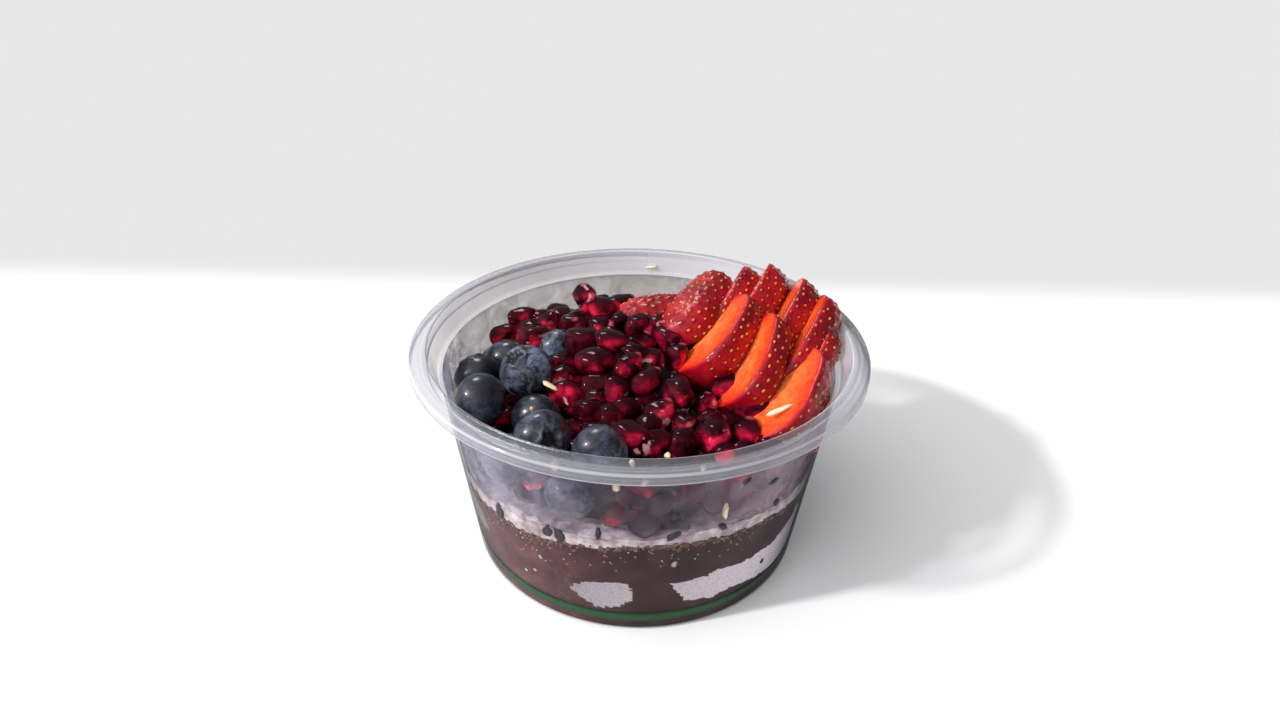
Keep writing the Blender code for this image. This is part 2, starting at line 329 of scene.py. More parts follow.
painted_shade_side = add_node(tree, "Math", {0: painted_shade_right_share, 1: painted_shade_low_share}, operation="MULTIPLY")
edge_tint_and_painted_shade = add_node(tree, "MixRGB", {"Fac": painted_shade_side, "Color1": edge_tone, "Color2": "#262a29"})
seat_tone = add_node(
    tree,
    "ValToRGB",
    {"Fac": up_share},
    stops=[
        (0.0, "#fbfbfb"),
        (0.876, "#f4f3f4"),
        (0.888, "#efedec"),
        (0.965, "#f1efef"),
        (0.985, "#f2f2f5"),
    ],
)
tint = add_node(tree, "MixRGB", {"Fac": grazing, "Color1": seat_tone, "Color2": edge_tint_and_painted_shade})
through = add_node(tree, "BsdfTransparent", {"Color": tint})
out_share = add_node(tree, "MapRange", {"Value": radius, "From Min": 0.0535, "From Max": 0.0585})
# Painted highlights: bright rings at set radii on the rim stand for light its edges gather, over its milky
# haze.
rings = add_node(
    tree,
    "ValToRGB",
    {"Fac": out_share},
    stops=[
        (0.06, 0.0),
        (0.08, 0.75),
        (0.13, 0.70),
        (0.18, 0.20),
        (0.42, 0.16),
        (0.46, 0.34),
        (0.52, 0.18),
        (0.88, 0.20),
        (0.93, 0.75),
        (1.0, 0.95),
    ],
)
drop = add_node(tree, "MapRange", {"Value": height, "From Min": 0.0558, "From Max": 0.0590})
# Painted highlights: bright and grey bands down the skirt, over its milky haze.
skirt = add_node(
    tree,
    "ValToRGB",
    {"Fac": drop},
    stops=[
        (0.0, 0.9),
        (0.11, 0.9),
        (0.17, 0.30),
        (0.38, 0.24),
        (0.45, 0.40),
        (0.52, 0.26),
        (0.66, 0.24),
        (0.72, 0.75),
    ],
)
milk_and_painted_light = add_node(tree, "Math", {0: rings, 1: skirt}, operation="MINIMUM")
# The lid's seat is hazy at the back, and more so towards the right, where the extra haze is painted light.
haze = add_node(
    tree,
    "MapRange",
    {"Value": parts.outputs["X"], "From Min": 0.0, "From Max": 0.045, "To Min": 0.28, "To Max": 0.80},
)
back_half = add_node(
    tree, "MapRange", {"Value": parts.outputs["Y"], "From Min": -0.012, "From Max": 0.012}
)
seat_band = add_node(tree, "MapRange", {"Value": height, "From Min": 0.0515, "From Max": 0.0532})
at_back = add_node(tree, "Math", {0: back_half, 1: seat_band}, operation="MULTIPLY")
seat_haze = add_node(tree, "Math", {0: haze, 1: at_back}, operation="MULTIPLY")
milk_and_painted_light = add_node(tree, "Math", {0: milk_and_painted_light, 1: seat_haze}, operation="MAXIMUM")
# So is the whole of the rim at the right, where it is painted light as well as haze.
right_rim = add_node(
    tree,
    "MapRange",
    {"Value": parts.outputs["X"], "From Min": 0.036, "From Max": 0.052, "To Max": 0.55},
)
on_rim = add_node(tree, "MapRange", {"Value": height, "From Min": 0.0530, "From Max": 0.0550})
rim_haze = add_node(tree, "Math", {0: right_rim, 1: on_rim}, operation="MULTIPLY")
milk_and_painted_light = add_node(tree, "Math", {0: milk_and_painted_light, 1: rim_haze}, operation="MAXIMUM")
# Painted shade: the milky rim turns darker grey at the far right.
painted_shade_far_right = add_node(
    tree, "MapRange", {"Value": parts.outputs["X"], "From Min": 0.0525, "From Max": 0.0575}
)
milk_tone_and_painted_shade = add_node(tree, "MixRGB", {"Fac": painted_shade_far_right, "Color1": "#d2d2da", "Color2": "#86848a"})
near_front = add_node(
    tree, "MapRange", {"Value": parts.outputs["Y"], "From Min": -0.036, "From Max": -0.052}
)
front_tone = add_node(tree, "MixRGB", {"Fac": near_front, "Color1": milk_tone_and_painted_shade, "Color2": "#b0b1b9"})
milk = add_node(tree, "BsdfDiffuse", {"Color": front_tone})
body = add_node(tree, "MixShader", {0: milk_and_painted_light, 1: through, 2: milk})
gloss = add_node(tree, "BsdfGlossy", {"Color": "#f6f8f8", "Roughness": 0.07})
mirror = add_node(tree, "Fresnel", {"IOR": 1.35})
within = add_node(tree, "NewGeometry").outputs["Backfacing"]  # no mirror from inside the wall
outside = add_node(tree, "Math", {0: 1.0, 1: within}, operation="SUBTRACT")
rim_gloss = add_node(
    tree,
    "MapRange",
    {"Value": height, "From Min": 0.050, "From Max": 0.0545, "To Min": 0.22, "To Max": 1.0},
)
polish = add_node(tree, "Math", {0: outside, 1: rim_gloss}, operation="MULTIPLY")
shine = add_node(tree, "Math", {0: mirror, 1: polish}, operation="MULTIPLY")
mixed = add_node(tree, "MixShader", {0: shine, 1: body, 2: gloss})
add_node(tree, "OutputMaterial", {"Surface": mixed})
tub.data.materials.append(clear_plastic)
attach(tub, "root")
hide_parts("bowl")


# ---- green stripe ----
# A plain green ring printed round the foot of the tub, just outside the filling. The clear foot
# magnifies what is in it, so the filling and the stripe are drawn out into it.

WALL_REACH = 0.15  # how far a filling reaches into the wall
FOOT_REACH = 0.35  # how much further it reaches in the foot
STRIPE = (2.7, 5.9)  # bottom and top


def smooth_step(value, start, end):
    share = min(max((value - start) / (end - start), 0.0), 1.0)
    return share * share * (3 - 2 * share)


def filling_radius(height):
    """Radius out to which a filling shows at a height."""
    reach = WALL_REACH + FOOT_REACH * (1 - smooth_step(height, 4.0, 9.0))
    radius = inner_radius(max(height, 3.4)) + reach
    if height >= FOOT_ROUND:
        return radius
    foot = outer_radius(FOOT_ROUND) - FOOT_ROUND * (1 - math.sqrt(1 - (1 - height / FOOT_ROUND) ** 2))
    return min(radius, foot - 0.3)


low, high = STRIPE
face = [(filling_radius(up) + 0.25, up) for up in np.linspace(low, high, 5)]
back = [(out - 0.3, up) for out, up in reversed(face)]
stripe = turned("green_stripe", [*face, *back, face[0]], TURN_STEPS, crease=60.0)
# Printing ink seen through the foot: a dull, even green with a darker top edge.
green_ink, tree, spot = new_material("green printing ink")
height = add_node(tree, "SeparateXYZ", {"Vector": spot}).outputs["Z"]
edge = add_node(tree, "MapRange", {"Value": height, "From Min": 0.0050, "From Max": 0.0055})
ink = add_node(tree, "MixRGB", {"Fac": edge, "Color1": "#204a2c", "Color2": "#19371f"})
surface = add_node(
    tree, "BsdfPrincipled", {"Base Color": ink, "Roughness": 0.5, "Specular IOR Level": 0.1}
)
add_node(tree, "OutputMaterial", {"Surface": surface})
stripe.data.materials.append(green_ink)
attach(stripe, "root")


# ---- acai ----
# Frozen acai puree that fills the lower half of the tub and is pressed against the wall, with air
# bubbles and patches of frost where it has drawn away. Its top swells towards the front right.

ACAI_HEIGHT = 25.0
ACAI_SWELL = (5.2, -75.0, 44.0)  # rise, place, spread
DRUM_STEPS = 300


def layer_top(x, y, height, swell):
    """Height of a layer's uneven top, which swells towards one side of the tub."""
    rise, centre, spread = swell
    off = math.remainder(math.degrees(math.atan2(y, x)) - centre, 360.0)
    rise *= math.exp(-((off / spread) ** 2)) * smooth_step(math.hypot(x, y), 5.0, 40.0)
    ripple = 0.7 * noise.noise(Vector((x, y, height)) / 9.0)
    lumps = 0.8 * noise.noise(Vector((x, y, height)) / 2.3)
    return height + rise + ripple + lumps


def acai_top(x, y):
    return layer_top(x, y, ACAI_HEIGHT, ACAI_SWELL)


def filled(name, bottom, top, rows):
    """A layer that fills the tub between two surfaces, made from a drum of one unit each way."""
    rings = (0.3, 0.6, 0.8, 0.9, 0.96)
    side = [(1.0, row / rows) for row in range(rows + 1)]
    section = [(0.0, 0.0), *[(out, 0.0) for out in rings], *side]
    section += [*[(out, 1.0) for out in reversed(rings)], (0.0, 1.0)]
    item = turned(name, section, DRUM_STEPS, crease=60.0)
    for vert in item.data.vertices:
        out = vert.co.xy.length / MM
        share = vert.co.z / MM
        bend = math.atan2(vert.co.y, vert.co.x)
        radius = filling_radius(bottom(45.0 * math.cos(bend), 45.0 * math.sin(bend)))
        for _ in range(3):
            x = out * radius * math.cos(bend)
            y = out * radius * math.sin(bend)
            height = bottom(x, y) + share * (top(x, y) - bottom(x, y))
            radius = filling_radius(height)
        vert.co = Vector((out * radius * math.cos(bend), out * radius * math.sin(bend), height)) * MM
    return item


acai = filled("acai", lambda x, y: 0.3, acai_top, 60)

# Frost patches on the wall, as outlines of angle and height.
FROST = (
    ((-110, 12), (-106, 15), (-98, 17), (-92, 17), (-90, 12), (-94, 8), (-101, 7), (-106, 9)),
    (
        (-79, 16),
        (-68, 17),
        (-63, 18),
        (-56, 16.5),
        (-50, 17),
        (-42, 16.5),
        (-35, 18),
        (-27, 21),
        (-22, 18.5),
        (-19, 15),
        (-21, 12),
        (-19.5, 9.5),
        (-25, 6.5),
        (-32, 5),
        (-41, 6),
        (-58, 8.5),
        (-66, 7.5),
        (-75, 9),
    ),
    ((-158, 21), (-148, 20), (-144, 15.5), (-148, 13), (-157, 12)),
)


def inside(outline, across, up):
    """Whether a point lies inside an outline."""
    crossings = 0
    for (first_across, first_up), (next_across, next_up) in zip(outline, outline[1:] + outline[:1]):
        if (first_up > up) != (next_up > up):
            share = (up - first_up) / (next_up - first_up)
            crossings += across < first_across + share * (next_across - first_across)
    return crossings % 2 == 1


depth_below = acai.data.attributes.new("below_top", "FLOAT", "POINT")
frost_of = acai.data.attributes.new("frost", "FLOAT", "POINT")
noise.seed_set(4)  # without a seed, noise_vector differs from run to run
for vert in acai.data.vertices:
    x, y, z = vert.co / MM
    depth_below.data[vert.index].value = acai_top(x, y) - z
    jag = noise.noise_vector(vert.co / MM / 1.3)
    across = math.degrees(math.atan2(y, x)) + 0.9 * jag.x
    frost_of.data[vert.index].value = any(inside(outline, across, z + 0.7 * jag.y) for outline in FROST)

# Frozen puree: clouded wine brown, with a fine pale grain of ice and tiny air bubbles near its top.
# The ice is finer than this, and is drawn coarse enough to show.
puree, tree, spot = new_material("frozen acai puree")
cloud = add_node(
    tree, "TexNoise", {"Vector": spot, "Scale": 1 / (6.25 * MM), "Detail": 4.0, "Roughness": 0.6}
)
grain = add_node(tree, "TexNoise", {"Vector": spot, "Scale": 1 / (0.7143 * MM), "Detail": 2.0})
base = add_node(
    tree,
    "ValToRGB",
    {"Fac": cloud},
    stops=[(0.30, "#3c2529"), (0.50, "#4a2e32"), (0.68, "#5c3e41")],
)
speck = add_node(tree, "MapRange", {"Value": grain, "From Min": 0.45, "From Max": 0.75, "To Max": 0.22})
speckled = add_node(tree, "MixRGB", {"Fac": speck, "Color1": base, "Color2": "#7c5d61"})
bubbles = add_node(tree, "TexVoronoi", {"Vector": spot, "Scale": 1 / (1.613 * MM)})
bubble = add_node(
    tree, "MapRange", {"Value": bubbles.outputs["Distance"], "From Min": 0.10, "From Max": 0.20}
)
below = add_node(tree, "Attribute", attribute_name="below_top").outputs["Fac"]
near_top = add_node(tree, "MapRange", {"Value": below, "From Min": 9.0, "From Max": 1.0})
rare = add_node(tree, "MapRange", {"Value": bubbles.outputs["Color"], "From Min": 0.62, "From Max": 0.66})
keep = add_node(tree, "Math", {0: near_top, 1: rare}, operation="MULTIPLY")
inverse = add_node(tree, "Math", {0: 1.0, 1: bubble}, operation="SUBTRACT")
pale = add_node(tree, "Math", {0: inverse, 1: keep}, operation="MULTIPLY")
dotted = add_node(tree, "MixRGB", {"Fac": pale, "Color1": speckled, "Color2": "#c9b4ba"})
frost = add_node(tree, "Attribute", attribute_name="frost").outputs["Fac"]
frost_edge = add_node(tree, "MapRange", {"Value": frost, "From Min": 0.42, "From Max": 0.58})
frost_grain = add_node(tree, "TexNoise", {"Vector": spot, "Scale": 1 / (0.4348 * MM), "Detail": 3.0})
frosting = add_node(
    tree,
    "ValToRGB",
    {"Fac": frost_grain},
    stops=[(0.36, "#a3979e"), (0.45, "#b9aeb6"), (0.60, "#c4bac1")],
)
frosted = add_node(tree, "MixRGB", {"Fac": frost_edge, "Color1": dotted, "Color2": frosting})
# Painted light: the puree is drawn lighter at the left and darker to the right, and the frost patches
# lighter towards the right.
along_x = add_node(tree, "SeparateXYZ", {"Vector": spot}).outputs["X"]
painted_light_across = add_node(
    tree,
    "MapRange",
    {"Value": along_x, "From Min": -0.045, "From Max": 0.0, "To Min": 1.8, "To Max": 0.5},
)
painted_light_on_frost = add_node(
    tree,
    "MapRange",
    {"Value": along_x, "From Min": -0.015, "From Max": 0.036, "To Min": 0.56, "To Max": 1.6},
)
strength = add_node(tree, "MixRGB", {"Fac": frost_edge, "Color1": painted_light_across, "Color2": painted_light_on_frost})
painted_light_graded = add_node(
    tree,
    "MixRGB",
    {"Fac": 1.0, "Color1": frosted, "Color2": strength},
    blend_type="MULTIPLY",
)
bump = add_node(tree, "Bump", {"Height": cloud, "Strength": 0.3, "Distance": 0.0006})
surface = add_node(
    tree,
    "BsdfPrincipled",
    {
        "Base Color": painted_light_graded,
        "Roughness": 0.5,
        "Specular IOR Level": 0.1,  # it lies wet against the wall, with no air to shine at
        "Normal": bump,
    },
)
add_node(tree, "OutputMaterial", {"Surface": surface})
acai.data.materials.append(puree)
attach(acai, "root")
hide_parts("acai")


# ---- cream ----
# A band of soft cream over the acai, tinted by it and uneven along both edges.

CREAM_HEIGHT = 31.5
CREAM_SWELL = (1.7, -68.0, 15.0)
CREAM_DIP = (3.5, 190.0, 35.0)  # the band sinks at the left


def cream_top(x, y):
    drop, centre, spread = CREAM_DIP
    off = math.remainder(math.degrees(math.atan2(y, x)) - centre, 360.0)
    return layer_top(x, y, CREAM_HEIGHT, CREAM_SWELL) - drop * math.exp(-((off / spread) ** 2))


cream = filled("cream", lambda x, y: acai_top(x, y) - 0.05, cream_top, 14)
# Whipped cream stained by the acai: soft curds of 3 mm, which let a little light in.
whipped, tree, spot = new_material("soft cream")
curds = add_node(tree, "TexNoise", {"Vector": spot, "Scale": 1 / (3.03 * MM), "Detail": 3.0})
base = add_node(
    tree,
    "ValToRGB",
    {"Fac": curds},
    stops=[(0.35, "#89767b"), (0.52, "#b7a8ab"), (0.65, "#d8cdcf")],
)
bump = add_node(tree, "Bump", {"Height": curds, "Strength": 0.5, "Distance": 0.0008})
surface = add_node(
    tree,
    "BsdfPrincipled",
    {
        "Base Color": base,
        "Roughness": 0.5,
        "Subsurface Weight": 0.15,
        "Subsurface Radius": (0.004, 0.003, 0.003),
        "Subsurface Scale": 0.5,
        "Normal": bump,
    },
)
add_node(tree, "OutputMaterial", {"Surface": surface})
cream.data.materials.append(whipped)
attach(cream, "root")
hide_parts("cream_layer")


# ---- mist ----
# Condensation and smears of cream on the inside of the wall, from the cream up to the lid's seat.
# It is thick at the left, thin at the middle of the front, and white just above the cream. At the
# back it thickens and whitens towards the right as painted light.

MIST = (29.5, 52.8)
MIST_DEPTH = 0.08

low, high = MIST
face = [(inner_radius(up) - 0.02, up) for up in np.linspace(low, high, 12)]
back = [(out - MIST_DEPTH, up) for out, up in reversed(face)]
mist = turned("mist", [*face, *back, face[0]], TURN_STEPS, crease=60.0)
# Fine droplets: they scatter light like thin white paint, in drifts of 8 mm, over the clear wall.
condensation, tree, spot = new_material("condensation")
parts = add_node(tree, "SeparateXYZ", {"Vector": spot})
along_x = add_node(tree, "MapRange", {"Value": parts.outputs["X"], "From Min": -0.05, "From Max": 0.05})
front_cover = add_node(
    tree,
    "ValToRGB",
    {"Fac": along_x},
    stops=[(0.0, 0.50), (0.28, 0.15), (0.42, 0.05), (0.62, 0.08), (0.80, 0.36), (1.0, 0.50)],
)
# Condensation at the back, thickened at the right as painted light.
back_cover_and_light = add_node(
    tree,
    "ValToRGB",
    {"Fac": along_x},
    stops=[(0.0, 0.28), (0.60, 0.22), (0.83, 0.22), (0.93, 0.75)],
)
behind = add_node(tree, "MapRange", {"Value": parts.outputs["Y"], "From Min": -0.012, "From Max": 0.012})
cover = add_node(tree, "MixRGB", {"Fac": behind, "Color1": front_cover, "Color2": back_cover_and_light})
drift = add_node(
    tree, "TexNoise", {"Vector": spot, "Scale": 1 / (8.333 * MM), "Detail": 8.0, "Distortion": 1.2}
)
uneven = add_node(
    tree,
    "MapRange",
    {"Value": drift, "From Min": 0.35, "From Max": 0.65, "To Min": 0.5, "To Max": 1.45},
)
fog = add_node(tree, "Math", {0: cover, 1: uneven}, operation="MULTIPLY")
near_cream = add_node(
    tree,
    "MapRange",
    {"Value": parts.outputs["Z"], "From Min": 0.0365, "From Max": 0.0312},
    interpolation_type="SMOOTHSTEP",
)
streaks = add_node(tree, "TexNoise", {"Vector": spot, "Scale": 1 / (4.167 * MM), "Detail": 4.0})
streaked = add_node(
    tree,
    "MapRange",
    {"Value": streaks, "From Min": 0.42, "From Max": 0.62, "To Max": 0.75},
)
smear = add_node(tree, "Math", {0: near_cream, 1: streaked}, operation="MULTIPLY")
thickness = add_node(tree, "Math", {0: fog, 1: smear}, operation="MAXIMUM")
front_grey = add_node(tree, "MixRGB", {"Fac": along_x, "Color1": "#c3c5da", "Color2": "#d6bcc6"})
# Painted light: the back's condensation turns near white at the right.
back_grey_and_light = add_node(
    tree,
    "ValToRGB",
    {"Fac": along_x},
    stops=[(0.0, "#a09b98"), (0.65, "#a39c98"), (0.9, "#f0e8ee")],
)
grey = add_node(tree, "MixRGB", {"Fac": behind, "Color1": front_grey, "Color2": back_grey_and_light})
white = add_node(tree, "MixRGB", {"Fac": smear, "Color1": grey, "Color2": "#ddd0d0"})
droplets = add_node(tree, "BsdfDiffuse", {"Color": white})
dimming = add_node(
    tree,
    "ValToRGB",
    {"Fac": along_x},
    stops=[(0.0, "#eceaea"), (0.70, "#e9e7e6"), (0.92, "#ffffff")],
)
seen_through = add_node(tree, "MixRGB", {"Fac": behind, "Color1": "#ffffff", "Color2": dimming})
through = add_node(tree, "BsdfTransparent", {"Color": seen_through})
mixed = add_node(tree, "MixShader", {0: thickness, 1: through, 2: droplets})
add_node(tree, "OutputMaterial", {"Surface": mixed})
mist.data.materials.append(condensation)
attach(mist, "root")


# ---- blueberries ----
# Whole blueberries with a waxy bloom, rubbed off in places, and a star-shaped crown round the hollow
# where the flower was.

BLUEBERRIES = (  # centre, radius, the way the crown points, bloom
    ((-42.5, -3.0, 46.5), 6.2, (-0.4, 0.3, 0.85), 0.15),
    ((-38.0, -21.0, 51.0), 6.4, (-0.9, 0.3, -0.3), 0.25),
    ((-36.5, 9.0, 44.0), 6.7, (0.2, 0.9, 0.4), 0.45),
    ((-29.0, -7.5, 51.0), 7.0, (-0.45, -0.25, 0.85), 1.3),
    ((-25.0, -20.0, 45.0), 6.4, (0.3, 0.9, 0.1), 0.2),
    ((-22.0, -33.5, 49.0), 6.7, (0.5, -0.8, 0.45), 0.4),
    ((-8.5, -38.5, 49.0), 6.5, (0.1, 0.95, -0.2), 0.6),
    ((-22.5, 11.0, 47.0), 6.0, (-0.2, 0.9, 0.1), 0.8),
)
CROWN_REACH = 0.40  # radians from the crown's middle to its rim
CROWN_DEPTH = 0.20  # of the radius

# Near-black skin under a pale blue wax, which is rubbed off in scratches and patches, and wet with
# juice.
waxy_skin, tree, spot = new_material("waxy blueberry skin")
bloom = add_node(tree, "Attribute", attribute_name="bloom").outputs["Fac"]
hollow = add_node(tree, "Attribute", attribute_name="hollow").outputs["Fac"]
smear = add_node(
    tree,
    "TexNoise",
    {"Vector": spot, "Scale": 1 / (3.333 * MM), "Detail": 10.0, "Roughness": 0.82, "Distortion": 0.6},
)
patches = add_node(tree, "TexNoise", {"Vector": spot, "Scale": 1 / (9.524 * MM), "Detail": 2.0})
rub = add_node(tree, "MapRange", {"Value": smear, "From Min": 0.45, "From Max": 0.62})
left_on = add_node(
    tree, "MapRange", {"Value": patches, "From Min": 0.38, "From Max": 0.56, "To Min": 0.25}
)
spread = add_node(tree, "Math", {0: rub, 1: left_on}, operation="MULTIPLY")
wax = add_node(tree, "Math", {0: spread, 1: bloom}, operation="MULTIPLY")
flush = add_node(tree, "TexNoise", {"Vector": spot, "Scale": 1 / (11.11 * MM), "Detail": 2.0})
base = add_node(tree, "ValToRGB", {"Fac": flush}, stops=[(0.40, "#0a0d15"), (0.62, "#1a1424")])
dusted = add_node(tree, "MixRGB", {"Fac": wax, "Color1": base, "Color2": "#8390ac"})
cupped = add_node(tree, "MixRGB", {"Fac": hollow, "Color1": dusted, "Color2": "#0b0a10"})
dulled = add_node(tree, "MapRange", {"Value": wax, "To Min": 0.30, "To Max": 0.55})
bump = add_node(tree, "Bump", {"Height": smear, "Strength": 0.15, "Distance": 0.0003})
surface = add_node(
    tree,
    "BsdfPrincipled",
    {
        "Base Color": cupped,
        "Roughness": dulled,
        "Specular IOR Level": 0.3,
        "Coat Weight": 0.5,  # wet with juice
        "Coat Roughness": 0.08,
        "Coat IOR": 1.33,
        "Normal": bump,
    },
)
add_node(tree, "OutputMaterial", {"Surface": surface})


def add_berry(name, centre, radius, crown_way, bloom_share):
    bpy.ops.mesh.primitive_uv_sphere_add(segments=60, ring_count=40, radius=1.0, location=(0, 0, 0))
    berry = bpy.context.object
    berry.name = name
    berry.data.name = name
    stand = Vector((0.0, 0.0, 1.0)).rotation_difference(Vector(crown_way)).to_matrix()
    bloom_of = berry.data.attributes.new("bloom", "FLOAT", "POINT")
    hollow_of = berry.data.attributes.new("hollow", "FLOAT", "POINT")
    for vert in berry.data.vertices:
        round_way = math.atan2(vert.co.y, vert.co.x)
        from_pole = math.pi * (math.acos(max(-1.0, min(1.0, vert.co.z))) / math.pi) ** 1.5
        star = CROWN_REACH * (1.0 + 0.16 * math.cos(5 * round_way + radius))
        inner = 1 - smooth_step(from_pole, 0.70 * star, 0.98 * star)
        lip = math.exp(-(((from_pole - 1.05 * star) / 0.09) ** 2))
        out = 1.0 - CROWN_DEPTH * inner + 0.07 * lip
        direction = Vector(
            (
                math.sin(from_pole) * math.cos(round_way),
                math.sin(from_pole) * math.sin(round_way),
                0.9 * math.cos(from_pole),
            )
        )
        out += 0.035 * noise.noise(direction * 1.1 + Vector(centre))
        vert.co = (Vector(centre) + stand @ (direction * out * radius)) * MM
        bloom_of.data[vert.index].value = bloom_share
        hollow_of.data[vert.index].value = inner
    berry.data.materials.append(waxy_skin)
    berry.data.shade_smooth()
    return berry


for number, (centre, radius, crown_way, bloom_share) in enumerate(BLUEBERRIES, 1):
    berry = add_berry(f"blueberry_{number}_skin", centre, radius, crown_way, bloom_share)
    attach(berry, "root")
    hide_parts(f"blueberry_{number}")


# ---- strawberries ----
# Cheeks cut lengthwise from strawberries and fanned out like cards: moist skin with seeds in pits on
# one side, and a flat orange cut face with a red edge on the other.

FAN = (0.48, 0.78, 0.40)
STRAWBERRY_SLICES = (  # tip, turn of the cut face, width, length, the way the slice points
    ((13.0, 21.0, 54.5), 265.0, 13.5, 20.0, (0.95, 0.26, 0.10)),
    ((24.5, 30.5, 58.5), 240.0, 18.0, 30.0, (0.50, 0.84, 0.24)),
    ((30.0, 35.0, 61.0), 8.0, 21.0, 32.0, (0.45, 0.80, 0.40)),
    ((36.5, 34.5, 62.5), 14.0, 22.0, 35.0, FAN),
    ((44.0, 25.5, 62.5), 20.0, 22.0, 35.0, FAN),
    ((48.5, 15.5, 62.5), 20.0, 20.0, 33.0, FAN),
    ((48.5, 5.0, 58.5), 20.0, 15.0, 26.0, FAN),
    ((25.5, 16.5, 62.0), 36.0, 26.0, 29.0, (0.50, 0.77, 0.38)),
    ((32.0, 6.0, 61.5), 30.0, 22.0, 29.0, (0.36, 0.82, 0.44)),
    ((41.0, -3.5, 58.0), 48.0, 24.0, 31.0, FAN),
    ((43.0, -11.5, 52.0), -20.0, 13.0, 19.0, (0.30, 0.72, 0.62)),
)
THICKNESS = 0.48  # of the width
STATIONS = 72
SKIN_STEPS = 56
FACE_STEPS = 24
SEED_SPACING = 2.5
PIT_DEPTH = 0.32
PIT_RADIUS = 0.75
SEED_SIZE = (0.30, 0.36, 0.54)  # half thickness, half width, half length


def put_mesh(name, points, faces, material):
    """A smooth mesh from points in millimetres."""
    mesh = bpy.data.meshes.new(name)
    mesh.from_pydata((np.asarray(points) * MM).tolist(), [], faces)
    mesh.materials.append(material)
    mesh.shade_smooth()
    item = bpy.data.objects.new(name, mesh)
    scene.collection.objects.link(item)
    return item


def slice_point(share, bend, width, length):
    """A point of a cheek's skin: share runs from stalk to tip, and bend from edge to edge."""
    bluntness = 4.5 if share > 0.5 else 2.2
    reach = max(1 - abs(2 * share - 1) ** bluntness, 0.0) ** 0.5 * (1.10 - 0.28 * share)
    out = THICKNESS * width * reach**0.4 * max(math.sin(bend), 0.0) ** 0.7
    return Vector((out, width / 2 * reach * math.cos(bend), (share - 1) * length))


def slice_frame(tip, face_turn, lean):
    """Places a cheek: its local X leaves the skin, and its local Z runs to the tip."""
    along = Vector(lean).normalized()
    left = (Vector((-1.0, 0.0, 0.0)) + along * along.x).normalized()
    upward = along.cross(left)
    bend = math.radians(face_turn)
    skin = -left * math.cos(bend) - upward * math.sin(bend)
    return Matrix.Translation(tip) @ Matrix((skin, along.cross(skin), along)).transposed().to_4x4()


def seed_places(width, length):
    """Share and bend of every seed, in rows across the skin, each row set between the last."""
    places = []
    rows = round(length / SEED_SPACING)
    bends = np.linspace(0.0, math.pi, 160)
    for row in range(1, rows):
        share = row / rows
        line = np.array([slice_point(share, bend, width, length) for bend in bends])
        arc = np.concatenate([[0.0], np.cumsum(np.linalg.norm(np.diff(line, axis=0), axis=1))])
        count = max(round(arc[-1] / SEED_SPACING), 1)
        for step in range(count):
            along = (step + 0.35 + 0.3 * (row % 2)) / count * arc[-1] + random.uniform(-0.25, 0.25)
            bend = float(np.interp(along, arc, bends))
            places.append((share + random.uniform(-0.2, 0.2) / rows, bend))
    return places


# Wet skin with a soft sheen and painted shade darkening its pits, and cut flesh that is fibrous and
# orange inside its red edge. A little light goes in under both.
berry_skin, tree, spot = new_material("moist strawberry skin and flesh")
cut_share = add_node(tree, "Attribute", attribute_name="cut").outputs["Fac"]
rim_share = add_node(tree, "Attribute", attribute_name="to_edge").outputs["Fac"]
pit_shade_share = add_node(tree, "Attribute", attribute_name="pit").outputs["Fac"]
blush = add_node(tree, "TexNoise", {"Vector": spot, "Scale": 1 / (8.333 * MM), "Detail": 3.0})
skin_colour = add_node(
    tree,
    "ValToRGB",
    {"Fac": blush},
    stops=[(0.35, "#7a0619"), (0.52, "#a00b20"), (0.68, "#bc1a26")],
)
# Painted shade: the skin darkens in the pits round the seeds.
pit_shaded = add_node(tree, "MixRGB", {"Fac": pit_shade_share, "Color1": skin_colour, "Color2": "#6d070c"})
fibre = add_node(
    tree, "TexNoise", {"Vector": spot, "Scale": 1 / (1.923 * MM), "Detail": 4.0, "Roughness": 0.7}
)
flesh = add_node(
    tree,
    "ValToRGB",
    {"Fac": rim_share},
    stops=[(0.0, "#f98048"), (0.50, "#f4642e"), (0.84, "#ea421e"), (0.97, "#b8141c")],
)
grain = add_node(
    tree,
    "MapRange",
    {"Value": fibre, "From Min": 0.32, "From Max": 0.68, "To Min": 0.2, "To Max": 0.85},
)
veined = add_node(tree, "MixRGB", {"Fac": 0.8, "Color1": flesh, "Color2": grain}, blend_type="OVERLAY")
both = add_node(tree, "MixRGB", {"Fac": cut_share, "Color1": pit_shaded, "Color2": veined})
bump = add_node(tree, "Bump", {"Height": fibre, "Strength": 0.45, "Distance": 0.0005})
surface = add_node(
    tree,
    "BsdfPrincipled",
    {
        "Base Color": both,
        "Roughness": 0.26,
        "IOR": 1.38,
        "Specular IOR Level": 0.35,
        "Subsurface Weight": 0.25,
        "Subsurface Radius": (0.003, 0.0008, 0.0004),
        "Subsurface Scale": 1.0,
        "Coat Weight": 0.3,  # wet with juice
        "Coat Roughness": 0.06,
        "Coat IOR": 1.33,
        "Normal": bump,
    },
)
add_node(tree, "OutputMaterial", {"Surface": surface})

# Dry husk, straw yellow to brown, half matt.
seed_shell, tree, spot = new_material("strawberry seed husk")
mottle = add_node(tree, "TexNoise", {"Vector": spot, "Scale": 1 / (3.846 * MM), "Detail": 2.0})
husk = add_node(tree, "ValToRGB", {"Fac": mottle}, stops=[(0.35, "#a85818"), (0.6, "#d8932f")])
surface = add_node(tree, "BsdfPrincipled", {"Base Color": husk, "Roughness": 0.35})
add_node(tree, "OutputMaterial", {"Surface": surface})



